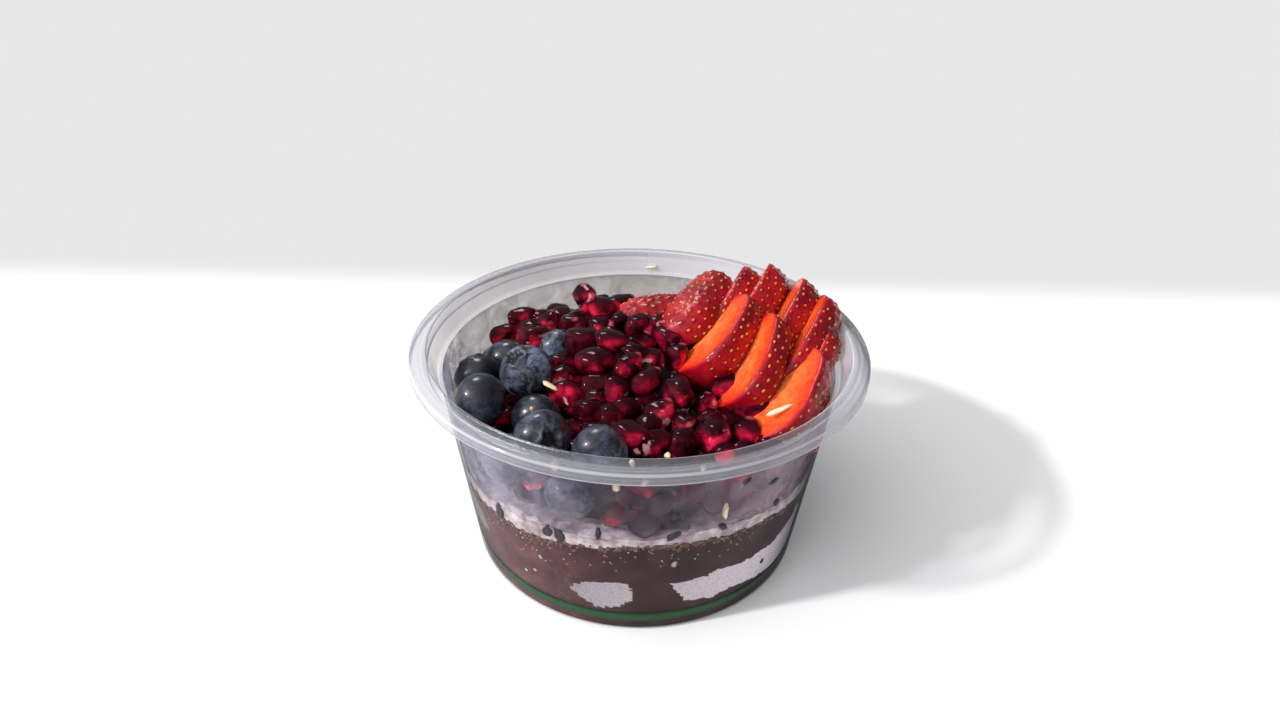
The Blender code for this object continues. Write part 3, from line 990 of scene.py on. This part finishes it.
def ball(subdivisions):
    """Points and faces of a ball, to be shaped and copied many times."""
    bpy.ops.mesh.primitive_ico_sphere_add(subdivisions=subdivisions, radius=1.0)
    made = bpy.context.object
    points = [vert.co.copy() for vert in made.data.vertices]
    faces = [tuple(face.vertices) for face in made.data.polygons]
    bpy.data.objects.remove(made)
    return points, faces


seed_ball, seed_ball_faces = ball(2)
random.seed(11)
seed_points = []
seed_faces = []
for number, (tip, face_turn, width, length, lean) in enumerate(STRAWBERRY_SLICES, 1):
    to_place = slice_frame(tip, face_turn, lean)
    places = seed_places(width, length)
    sockets = np.array([slice_point(share, bend, width, length) for share, bend in places])
    points = []
    traits = []  # cut face, nearness to its edge
    loop_size = SKIN_STEPS + FACE_STEPS
    for station in range(1, STATIONS):
        share = (1 - math.cos(math.pi * station / STATIONS)) / 2
        for step in range(SKIN_STEPS + 1):
            points.append(slice_point(share, math.pi * step / SKIN_STEPS, width, length))
            traits.append((0.0, 1.0))
        edge = points[-1]
        for step in range(1, FACE_STEPS):
            across = 2 * step / FACE_STEPS - 1
            sag = 0.01 * width * (1 - across**2) * math.sin(math.pi * share)
            points.append(Vector((sag, -edge.y * across, edge.z)))
            ends = abs(2 * share - 1)
            traits.append((1.0, max(abs(across), ends)))
    points.append(Vector((0.0, 0.0, -length)))
    traits.append((0.0, 1.0))
    points.append(Vector((0.0, 0.0, 0.0)))
    traits.append((0.0, 1.0))
    faces = []
    for station in range(STATIONS - 2):
        for step in range(loop_size):
            here = station * loop_size + step
            after = station * loop_size + (step + 1) % loop_size
            faces.append((here, after, after + loop_size, here + loop_size))
    last = (STATIONS - 2) * loop_size
    for step in range(loop_size):
        after = (step + 1) % loop_size
        faces.append((after, step, len(points) - 2))
        faces.append((last + step, last + after, len(points) - 1))
    piece = put_mesh(f"strawberry_{number}", points, faces, berry_skin)
    mesh = piece.data
    cut_of = mesh.attributes.new("cut", "FLOAT", "POINT")
    edge_of = mesh.attributes.new("to_edge", "FLOAT", "POINT")
    pit_of = mesh.attributes.new("pit", "FLOAT", "POINT")
    shape = np.array([vert.co[:] for vert in mesh.vertices]) / MM
    normals = np.array([vert.normal[:] for vert in mesh.vertices])
    for vert, (cut_face, nearness) in zip(mesh.vertices, traits):
        gap = np.linalg.norm(sockets - shape[vert.index], axis=1).min()
        pit = math.exp(-((gap / PIT_RADIUS) ** 2)) * (1 - cut_face)
        moved = Vector(shape[vert.index] - normals[vert.index] * PIT_DEPTH * pit)
        wave = 0.12 * noise.noise(moved / 7.0 + Vector((number * 3.0, 0, 0)))
        moved += Vector(normals[vert.index]) * wave * (1 - cut_face)
        vert.co = (to_place @ moved) * MM
        cut_of.data[vert.index].value = cut_face
        edge_of.data[vert.index].value = nearness
        pit_of.data[vert.index].value = pit
    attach(piece, "root")
    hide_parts(f"strawberry_slice_{number}")
    for share, bend in places:
        middle = slice_point(share, bend, width, length)
        ahead = (slice_point(min(share + 0.02, 0.99), bend, width, length) - middle).normalized()
        aside = (slice_point(share, bend + 0.05, width, length) - middle).normalized()
        outward = aside.cross(ahead).normalized()
        if outward.x < 0:
            outward = -outward
        turn = Matrix((outward, ahead.cross(outward), ahead)).transposed()
        grow = random.uniform(0.8, 1.15)
        start = len(seed_points)
        for ball_point in seed_ball:
            tapered = ball_point * Vector(SEED_SIZE) * grow
            tapered.y *= 1 - 0.5 * max(tapered.z / SEED_SIZE[2], 0.0)
            seed_points.append(to_place @ (middle + outward * 0.10 + turn @ tapered))
        seed_faces += [tuple(start + corner for corner in face) for face in seed_ball_faces]
seeds = put_mesh("strawberry_seeds", [tuple(point) for point in seed_points], seed_faces, seed_shell)
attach(seeds, "root")


# ---- pomegranate ----
# A heap of loose pomegranate seeds: juice sacs pressed flat by their neighbours, glassy and dark
# crimson on top, with painted light making each bright red on the side away from the light and some
# seeds brighter than others. They lie on a near-black core that is painted shade for the gaps.

SEED_LENGTH = 9.6
SEED_WIDTH = 7.6
SEED_KINDS = 9
SEED_SINK = 2.0  # depth of a seed's middle below the heap's packed outline
CORE_SINK = 6.5
CORE_SHARE = 0.87  # of the filling's radius
HEAP_SPACING = 5.0
# Painted light: the red glow is painted on each seed's side that faces this way, and each seed's
# brightness is painted too.
PAINTED_GLOW_WAY = Vector((0.30, -0.86, -0.42))  # the light gathers on the side that faces this way
SHOWN_SEEDS = (  # centre, brightness, size, the long way
    ((-16, 23, 57.5), 0.85, 1.05, (-0.1, 0.5, 0.86)),
    ((-11, 25, 55.5), 0.2, 0.75, (1, 0, 0)),
    ((-6, 24, 55.5), 0.5, 1.0, (0.8, 0.3, 0.4)),
    ((-11, 21, 54.5), 0.5, 1.15, (0.75, -0.3, -0.55)),
    ((-34, 22, 51), 0.5, 1.05, (0.9, 0.2, 0.3)),
    ((-28, 23, 51), 0.75, 0.9, (1, 0.1, 0.1)),
    ((-26, 18, 52), 0.6, 0.9, (0.2, 0.5, 0.8)),
    ((-31, 18, 50), 0.3, 1.0, (0.9, 0.3, 0.3)),
    ((-38, 18, 48), 0.6, 1.1, (0.9, 0.25, 0.35)),
    ((-20, 16, 53), 0.25, 0.9, (0.5, -0.5, 0.6)),
    ((-16, 17, 52.5), 0.5, 1.15, (0.95, 0.1, -0.2)),
    ((-8, 18, 52), 0.5, 0.95, (0.1, -0.6, 0.6)),
    ((-30, 12, 49.5), 0.8, 1.35, (0.85, 0.3, 0.42)),
    ((-15, 4, 54), 0.3, 1.2, (1, -0.1, 0)),
    ((-7, 2, 55), 0.45, 1.15, (0.95, -0.15, -0.1)),
    ((-1, 10, 56.5), 0.45, 0.85, (0.5, 0.5, 0.6)),
    ((4, 12, 55), 1.0, 1.05, (0.8, 0.35, 0.45)),
    ((8, 7, 53.5), 0.65, 1.2, (0.75, -0.35, -0.5)),
    ((0, 6, 52.5), 0.5, 0.95, (1, 0, -0.1)),
    ((-20, 2, 48), 0.6, 1.1, (1, 0, 0)),
    ((-11, -4, 53), 0.5, 1.25, (0.95, 0.2, 0.1)),
    ((-3, -7, 53), 0.8, 1.05, (0.6, 0.4, 0.6)),
    ((3, -2, 52), 1.0, 1.0, (0.9, -0.3, -0.2)),
    ((10, 0, 52), 0.6, 0.95, (0.3, 0.4, 0.7)),
    ((16, -1, 49.5), 0.3, 1.2, (0.7, 0.4, 0.5)),
    ((-19, -4, 47), 0.9, 1.2, (0.9, 0.2, 0.3)),
    ((-10, -10, 49), 0.35, 1.15, (0.9, 0.3, 0.2)),
    ((-6, -12, 49.5), 0.65, 1.05, (0.4, 0.4, 0.8)),
    ((2, -12, 52), 0.4, 1.0, (0.6, 0.5, 0.6)),
    ((10, -15, 50), 0.65, 1.2, (0.25, -0.5, -0.85)),
    ((-18, -13, 47), 1.0, 1.25, (0.7, -0.35, -0.6)),
    ((-12, -20, 48), 0.35, 0.9, (1, 0, 0)),
    ((-7, -22, 47), 0.5, 1.1, (0.3, 0.6, 0.7)),
    ((-3, -19, 48), 0.25, 0.9, (1, 0.1, 0)),
    ((1, -16, 48), 0.3, 0.85, (0.8, 0.4, 0.2)),
    ((5, -21, 48), 1.0, 1.05, (0.5, 0.4, 0.7)),
    ((2, -26, 47.5), 0.25, 0.95, (0.7, 0.3, 0.5)),
    ((11, -24, 47.5), 0.9, 0.85, (0.2, -0.8, 0.5)),
    ((-10, -26, 46), 0.9, 0.85, (1, -0.2, -0.1)),
    ((-1, -32, 48), 1.0, 1.35, (0.9, -0.25, -0.3)),
    ((10, -31, 47), 0.35, 1.0, (0.6, 0.3, 0.7)),
    ((22, -9, 48.5), 0.7, 1.15, (0.2, 0.5, 0.85)),
    ((17, -15, 47), 0.95, 0.8, (0.1, 0.5, 0.85)),
    ((17, -22, 47.5), 0.95, 0.8, (0.9, 0.2, 0.3)),
    ((22, -22, 46.5), 0.25, 0.9, (1, 0.1, 0.1)),
    ((29, -17, 47), 0.45, 1.4, (0.8, -0.3, -0.4)),
    ((18, -27, 46.5), 1.0, 1.3, (0.6, 0.4, 0.6)),
    ((26, -26, 45.5), 0.55, 1.15, (0.2, 0.5, 0.8)),
    ((32, -28, 46), 0.2, 0.9, (1, 0, 0)),
)
HEAP_TRIES = 4000
HEAP_REACH = 44.5
WALL_ROWS = (34.5, 40.5, 46.0)  # heights of the seeds that lie against the wall
WALL_ROW_DEPTH = 4.2
WALL_ROW_SPACING = 7.6
FAR_WALL = 36.0  # radius outside which a seed at the back lies against the wall
BURIED_BERRIES = ((-31.0, -28.0, 38.5), (-15.0, -39.0, 38.0), (-39.0, 4.0, 36.0))
BURIED_RADIUS = 6.4

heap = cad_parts["pomegranate_heap"]
for number, centre in enumerate(BURIED_BERRIES, 1):
    berry = add_berry(f"buried_blueberry_{number}", centre, BURIED_RADIUS, (0.3, 0.3, 1.0), 0.8)
    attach(berry, "root")


def heap_height(x, y):
    """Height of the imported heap's top, found by looking straight down on it."""
    hit, place, _, _ = heap.ray_cast(Vector((x * MM, y * MM, 0.2)), Vector((0.0, 0.0, -1.0)))
    return place.z / MM if hit else CREAM_HEIGHT + CORE_SINK + 4.0


core = filled(
    "pomegranate_core",
    lambda x, y: cream_top(x, y) - 0.5,
    lambda x, y: heap_height(x, y) - CORE_SINK,
    12,
)
for vert in core.data.vertices:
    vert.co.xy *= CORE_SHARE


def seed_kind(draw):
    """Points and faces of a ball that its neighbours pressed flat in places, with a blunt point."""
    chance = random.Random(draw)
    sac, faces = ball(3 if draw < SEED_KINDS else 2)
    walls = []
    for _ in range(11):
        way = Vector((chance.gauss(0, 1), chance.gauss(0, 1), chance.gauss(0, 0.6))).normalized()
        walls.append((way, chance.uniform(0.66, 0.9)))
    points = []
    for corner in sac:
        way = corner.normalized()
        pressed = sum((max(way.dot(wall_way), 0.0) / reach) ** 22 for wall_way, reach in walls)
        out = (1.0 + pressed) ** (-1 / 22)
        taper = 1 - 0.34 * smooth_step(way.z, 0.2, 1.0)
        points.append(Vector((way.x * taper, way.y * taper, way.z)) * out)
    return np.array(points), faces


random.seed(5)
fine_kinds = [seed_kind(draw) for draw in range(SEED_KINDS)]
plain_kinds = [seed_kind(draw) for draw in range(SEED_KINDS, 2 * SEED_KINDS)]
heap_points = []
heap_faces = []
heap_light_tones = []
heap_ends = []


def add_seed(kinds, centre, tone, size, long_way):
    """Adds a seed, turned and pressed a little flat on top."""
    points, faces = random.choice(kinds)
    stand = Vector(long_way).normalized().to_track_quat("Z", "Y").to_matrix()
    spin = Matrix.Rotation(random.uniform(0, 2 * math.pi), 3, "Z")
    stretch = np.array((SEED_WIDTH / 2, SEED_WIDTH / 2, SEED_LENGTH / 2)) * size
    turned_points = (points * stretch) @ np.array((stand @ spin).transposed())
    flat = 0.62 * turned_points[:, 2].max()
    above_flat = np.maximum(turned_points[:, 2] - flat, 0.0)
    turned_points[:, 2] -= 0.55 * above_flat
    start = sum(len(block) for block in heap_points)
    heap_points.append(turned_points + np.array(centre))
    heap_faces.extend(tuple(start + corner for corner in face) for face in faces)
    heap_light_tones.extend([tone] * len(points))
    heap_ends.extend(points[:, 2].tolist())


def in_berry(place, clearance):
    berries = [(centre, radius) for centre, radius, _, _ in BLUEBERRIES]
    berries += [(centre, 6.5) for centre in BURIED_BERRIES]
    return any((Vector(place) - Vector(centre)).length < radius + clearance for centre, radius in berries)


places = []
for centre, tone, size, long_way in SHOWN_SEEDS:
    places.append(centre[:2])
    add_seed(fine_kinds, centre, tone, size, long_way)
for _ in range(HEAP_TRIES):
    bend = random.uniform(0, 2 * math.pi)
    out = HEAP_REACH * math.sqrt(random.random())
    x = out * math.cos(bend)
    y = out * math.sin(bend)
    long_way = (random.gauss(0, 1), random.gauss(0, 1), random.gauss(0, 0.4))
    tone = random.random() ** 1.5
    if min(math.hypot(x - other_x, y - other_y) for other_x, other_y in places) < HEAP_SPACING:
        continue
    height = heap_height(x, y) - SEED_SINK - 1.0
    if in_berry((x, y, height), 2.0):
        continue
    places.append((x, y))
    add_seed(fine_kinds, (x, y, height), tone, random.uniform(0.85, 1.1), long_way)
for row in WALL_ROWS:
    out = inner_radius(row) - WALL_ROW_DEPTH
    count = round(2 * math.pi * out / WALL_ROW_SPACING)
    for step in range(count):
        bend = 2 * math.pi * (step + random.uniform(-0.2, 0.2)) / count + row
        place = (out * math.cos(bend), out * math.sin(bend), row + random.uniform(-3.0, 3.0))
        long_way = (-math.sin(bend), math.cos(bend), random.gauss(0, 0.8))
        tone = random.random()
        # Painted shade: the seeds against the front wall are drawn dim.
        if bend % (2 * math.pi) > math.pi:  # the seeds at the front are dim
            tone = 0.6 * tone**2
        if heap_height(place[0] * 0.9, place[1] * 0.9) > place[2] + 2.0 and not in_berry(place, 2.5):
            add_seed(plain_kinds, place, tone, random.uniform(0.85, 1.1), long_way)

# A taut skin full of dark juice: hard small highlights, painted red light gathered in its lower side,
# a paler tip, and scraps of white pith on the brightest.
juice_sac, tree, spot = new_material("glassy pomegranate juice sac")
tone = add_node(tree, "Attribute", attribute_name="tone").outputs["Fac"]
end = add_node(tree, "Attribute", attribute_name="along").outputs["Fac"]
glow = add_node(tree, "Attribute", attribute_name="glow").outputs["Fac"]
wash = add_node(tree, "TexNoise", {"Vector": spot, "Scale": 1 / (3.846 * MM), "Detail": 3.0})
lit = add_node(tree, "Math", {0: glow, 1: tone}, operation="MULTIPLY")
patchy = add_node(tree, "Math", {0: wash, 1: 3.4, 2: -1.24}, operation="MULTIPLY_ADD")
shine = add_node(tree, "Math", {0: lit, 1: patchy}, operation="MULTIPLY")
shade = add_node(
    tree,
    "ValToRGB",
    {"Fac": shine},
    stops=[(0.0, "#1d030a"), (0.14, "#420715"), (0.38, "#a60f30"), (0.62, "#e52c50")],
)
pale_end = add_node(tree, "MapRange", {"Value": end, "From Min": 0.82, "From Max": 0.98})
tipped = add_node(tree, "MixRGB", {"Fac": pale_end, "Color1": shade, "Color2": "#b04a58"})
film = add_node(tree, "TexNoise", {"Vector": spot, "Scale": 1 / (2.381 * MM), "Detail": 3.0})
bump = add_node(tree, "Bump", {"Height": film, "Strength": 0.25, "Distance": 0.0005})
pith_spots = add_node(tree, "TexNoise", {"Vector": spot, "Scale": 1 / (2.778 * MM), "Detail": 2.0})
pith_place = add_node(tree, "MapRange", {"Value": pith_spots, "From Min": 0.57, "From Max": 0.64})
brightest = add_node(tree, "MapRange", {"Value": lit, "From Min": 0.5, "From Max": 0.75})
pith_share = add_node(tree, "Math", {0: pith_place, 1: brightest}, operation="MULTIPLY")
pithy = add_node(tree, "MixRGB", {"Fac": pith_share, "Color1": tipped, "Color2": "#e7a4ac"})
surface = add_node(
    tree,
    "BsdfPrincipled",
    {
        "Normal": bump,
        "Base Color": pithy,
        "Roughness": 0.06,
        "IOR": 1.42,
        "Specular IOR Level": 0.36,
        "Specular Tint": "#be6874",
        "Subsurface Weight": 0.08,
        "Subsurface Radius": (0.003, 0.0004, 0.0003),
        "Subsurface Scale": 1.0,
    },
)
add_node(tree, "OutputMaterial", {"Surface": surface})
arils = put_mesh("pomegranate_seeds", np.concatenate(heap_points), heap_faces, juice_sac)
arils.data.attributes.new("tone", "FLOAT", "POINT").data.foreach_set("value", heap_light_tones)
arils.data.attributes.new("along", "FLOAT", "POINT").data.foreach_set("value", heap_ends)
normals = np.empty(3 * len(heap_light_tones), dtype=np.float32)
arils.data.vertices.foreach_get("normal", normals)
normals = normals.reshape(-1, 3)
painted_glows = np.clip(normals @ np.array(PAINTED_GLOW_WAY.normalized()) * 0.75 + 0.35, 0.0, 1.0)
flat_places = np.concatenate(heap_points)[:, :2]
from_axis = np.hypot(flat_places[:, 0], flat_places[:, 1])
outward = (normals[:, :2] * flat_places).sum(axis=1) / from_axis
# Painted light: seeds against the far wall glow red on their outer side.
at_far_wall = (from_axis > FAR_WALL) & (flat_places[:, 1] > 0.0)  # red shows through the wall there
painted_glows = np.where(at_far_wall, np.maximum(painted_glows, 0.9 * outward), painted_glows)
arils.data.attributes.new("glow", "FLOAT", "POINT").data.foreach_set("value", painted_glows.astype(np.float32))
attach(arils, "root")
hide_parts("pomegranate_heap")

# Painted shade: a near-black core under the seeds, so that the gaps between them look deep.
seed_gap_shade, tree, spot = new_material("near-black core for shade between seeds")
mash = add_node(tree, "TexNoise", {"Vector": spot, "Scale": 1 / (3.333 * MM), "Detail": 3.0})
base = add_node(tree, "ValToRGB", {"Fac": mash}, stops=[(0.4, "#0d0306"), (0.65, "#2c0810")])
surface = add_node(tree, "BsdfPrincipled", {"Base Color": base, "Roughness": 0.7})
add_node(tree, "OutputMaterial", {"Surface": surface})
core.data.materials.append(seed_gap_shade)
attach(core, "root")


# ---- nuts, nibs and crumbs ----
# Almond slivers, broken nut crumbs and dark cacao nibs, loose on the fruit and the rim, and pressed
# against the wall in and above the cream.

NIBS = (  # place round the wall, height, length, width, tilt
    (-133, 28.4, 4.4, 3.2, 10),
    (-115, 30.4, 3.6, 2.4, 20),
    (-111.5, 30.2, 4.0, 2.6, -25),
    (-100, 33.6, 3.6, 1.3, 0),
    (-80, 33.2, 3.8, 1.9, 60),
    (-66, 33.2, 3.0, 1.8, -40),
    (-80, 39.6, 2.8, 1.6, 50),
    (-92, 42.3, 2.2, 1.4, 20),
    (-61, 46.0, 2.4, 1.2, 70),
    (-51, 41.8, 2.8, 1.2, 80),
    (-47, 33.2, 2.4, 1.8, 10),
    (-46, 12.0, 1.6, 1.2, 30),
)
SLIVERS = (  # centre, length, width, the way it points
    ((-22.0, -13.5, 50.5), 5.0, 1.7, (0.9, -0.25, -0.35)),
    ((33.5, -25.0, 52.5), 8.0, 1.5, (0.9, 0.35, 0.25)),
    ((-13.0, 22.0, 54.5), 4.0, 1.4, (0.4, -0.5, -0.9)),
    ((20.0, -44.3, 37.8), 4.2, 1.6, (0.1, 0.1, 1.0)),
    ((3.5, 51.8, 55.0), 3.8, 2.0, (1.0, -0.05, 0.1)),
)
CRUMB_PLACES = (  # on the rim and the fruit
    ((-17.5, -47.1, 51.9), 1.5),
    ((-4.4, -49.4, 48.1), 1.2),
    ((13.7, -49.4, 53.6), 1.1),
    ((-1.1, -52.4, 56.9), 0.9),
    ((1.6, -49.9, 49.9), 1.0),
    ((6.5, -42.3, 51.5), 0.9),
    ((-24.3, -30.5, 54.9), 0.8),
)
FLECKS = (  # place round the wall, height, length
    (-119, 19.5, 1.5),
    (-122, 13.4, 1.1),
    (-126, 11.3, 1.0),
    (-79, 23.5, 2.2),
)
SMALL_FLECKS = 55
JUNCTION_CRUMBS = 330
FLAKE = 0.9  # thickness of a nib or a sliver


def crumb_kind(draw):
    """A broken grain: a small ball with its surface knocked about."""
    grain, faces = ball(2)
    points = []
    for corner in grain:
        way = corner.normalized()
        points.append(way * (1.0 + 0.45 * noise.noise(way * 1.4 + Vector((draw, 0.0, 0.0)))))
    return np.array(points), faces


def joined_bits(name, placements, material):
    """One mesh of many bits, each given by its middle, its size each way and its turn."""
    points = []
    faces = []
    for middle, size_each_way, turned_to in placements:
        kind_points, kind_faces = random.choice(crumb_kinds)
        start = sum(len(block) for block in points)
        shaped = (kind_points * np.array(size_each_way)) @ np.array(turned_to.transposed())
        points.append(shaped + np.array(middle))
        faces.extend(tuple(start + corner for corner in face) for face in kind_faces)
    return put_mesh(name, np.concatenate(points), faces, material)


def wall_bit(place, height, size_each_way, tilt, reach=0.0):
    """A bit pressed against the wall: its X leaves the wall, and its Z runs up it but for the tilt."""
    bend = math.radians(place)
    out = Vector((math.cos(bend), math.sin(bend), 0.0))
    side = Vector((-math.sin(bend), math.cos(bend), 0.0))
    lean = math.radians(tilt)
    up = Vector((0.0, 0.0, 1.0)) * math.cos(lean) + side * math.sin(lean)
    middle = out * (filling_radius(height) + reach) + Vector((0.0, 0.0, height))
    return middle, size_each_way, Matrix((out, up.cross(out), up)).transposed()


def below_acai_top(place, depth):
    """A height on the wall, at a depth below the top of the acai."""
    bend = math.radians(place)
    return acai_top(47 * math.cos(bend), 47 * math.sin(bend)) - depth


def grain_material(name, dark, light, roughness):
    """Broken nut or nib: dull, and mottled between two tones."""
    material, tree, spot = new_material(name)
    mottle = add_node(tree, "TexNoise", {"Vector": spot, "Scale": 1 / (1.111 * MM), "Detail": 3.0})
    colour = add_node(tree, "ValToRGB", {"Fac": mottle}, stops=[(0.35, dark), (0.65, light)])
    surface = add_node(tree, "BsdfPrincipled", {"Base Color": colour, "Roughness": roughness})
    add_node(tree, "OutputMaterial", {"Surface": surface})
    return material


random.seed(23)
crumb_kinds = [crumb_kind(draw * 3.1) for draw in range(6)]
placements = [
    wall_bit(place, height, (FLAKE / 2, width / 2, length / 2), tilt)
    for place, height, length, width, tilt in NIBS
]
nibs = joined_bits("cacao_nibs", placements, grain_material("cacao nib", "#120d12", "#2a2029", 0.5))
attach(nibs, "root")

placements = []
for centre, length, width, way in SLIVERS:
    stand = Vector(way).to_track_quat("Z", "Y").to_matrix()
    placements.append((centre, (width / 2, FLAKE / 2, length / 2), stand))
slivers = joined_bits("almond_slivers", placements, grain_material("almond", "#e2c79c", "#f6e6c6", 0.45))
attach(slivers, "root")

placements = []
for centre, size_of in CRUMB_PLACES:
    stand = Vector((random.gauss(0, 1), random.gauss(0, 1), random.gauss(0, 1))).to_track_quat("Z", "Y")
    placements.append((centre, (size_of * 0.6, size_of * 0.7, size_of), stand.to_matrix()))
crumbs = joined_bits("nut_crumbs", placements, grain_material("nut crumb", "#c9a878", "#ecdcbc", 0.55))
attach(crumbs, "root")

placements = [
    wall_bit(place, height, (0.25, length / 2, length / 3), place)
    for place, height, length in FLECKS
]
for _ in range(SMALL_FLECKS):
    place = random.uniform(-150, -55)
    height = below_acai_top(place, random.uniform(0.8, 8.0))
    grow = random.uniform(0.07, 0.17)
    tilt = random.uniform(-60, 60)
    placements.append(wall_bit(place, height, (0.2, grow * 1.6, grow), tilt))
flecks = joined_bits("cream_flecks", placements, whipped)
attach(flecks, "root")

placements = []
for _ in range(JUNCTION_CRUMBS):
    place = random.choice((random.uniform(-155, -112), random.gauss(-78, 9), random.uniform(-112, -30)))
    height = below_acai_top(place, abs(random.gauss(0.0, 0.9)) - 0.3)
    grow = random.uniform(0.15, 0.6)
    tilt = random.uniform(-90, 90)
    placements.append(wall_bit(place, height, (0.35, grow, grow * 0.7), tilt, reach=0.05))
husks = joined_bits(
    "brown_crumbs", placements, grain_material("toasted crumb", "#4a352b", "#86695a", 0.7)
)
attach(husks, "root")


# ---- size ----
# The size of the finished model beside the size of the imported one.

size = {"cad": [list(point) for point in cad_bounds], "visual": [list(point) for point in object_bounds()]}
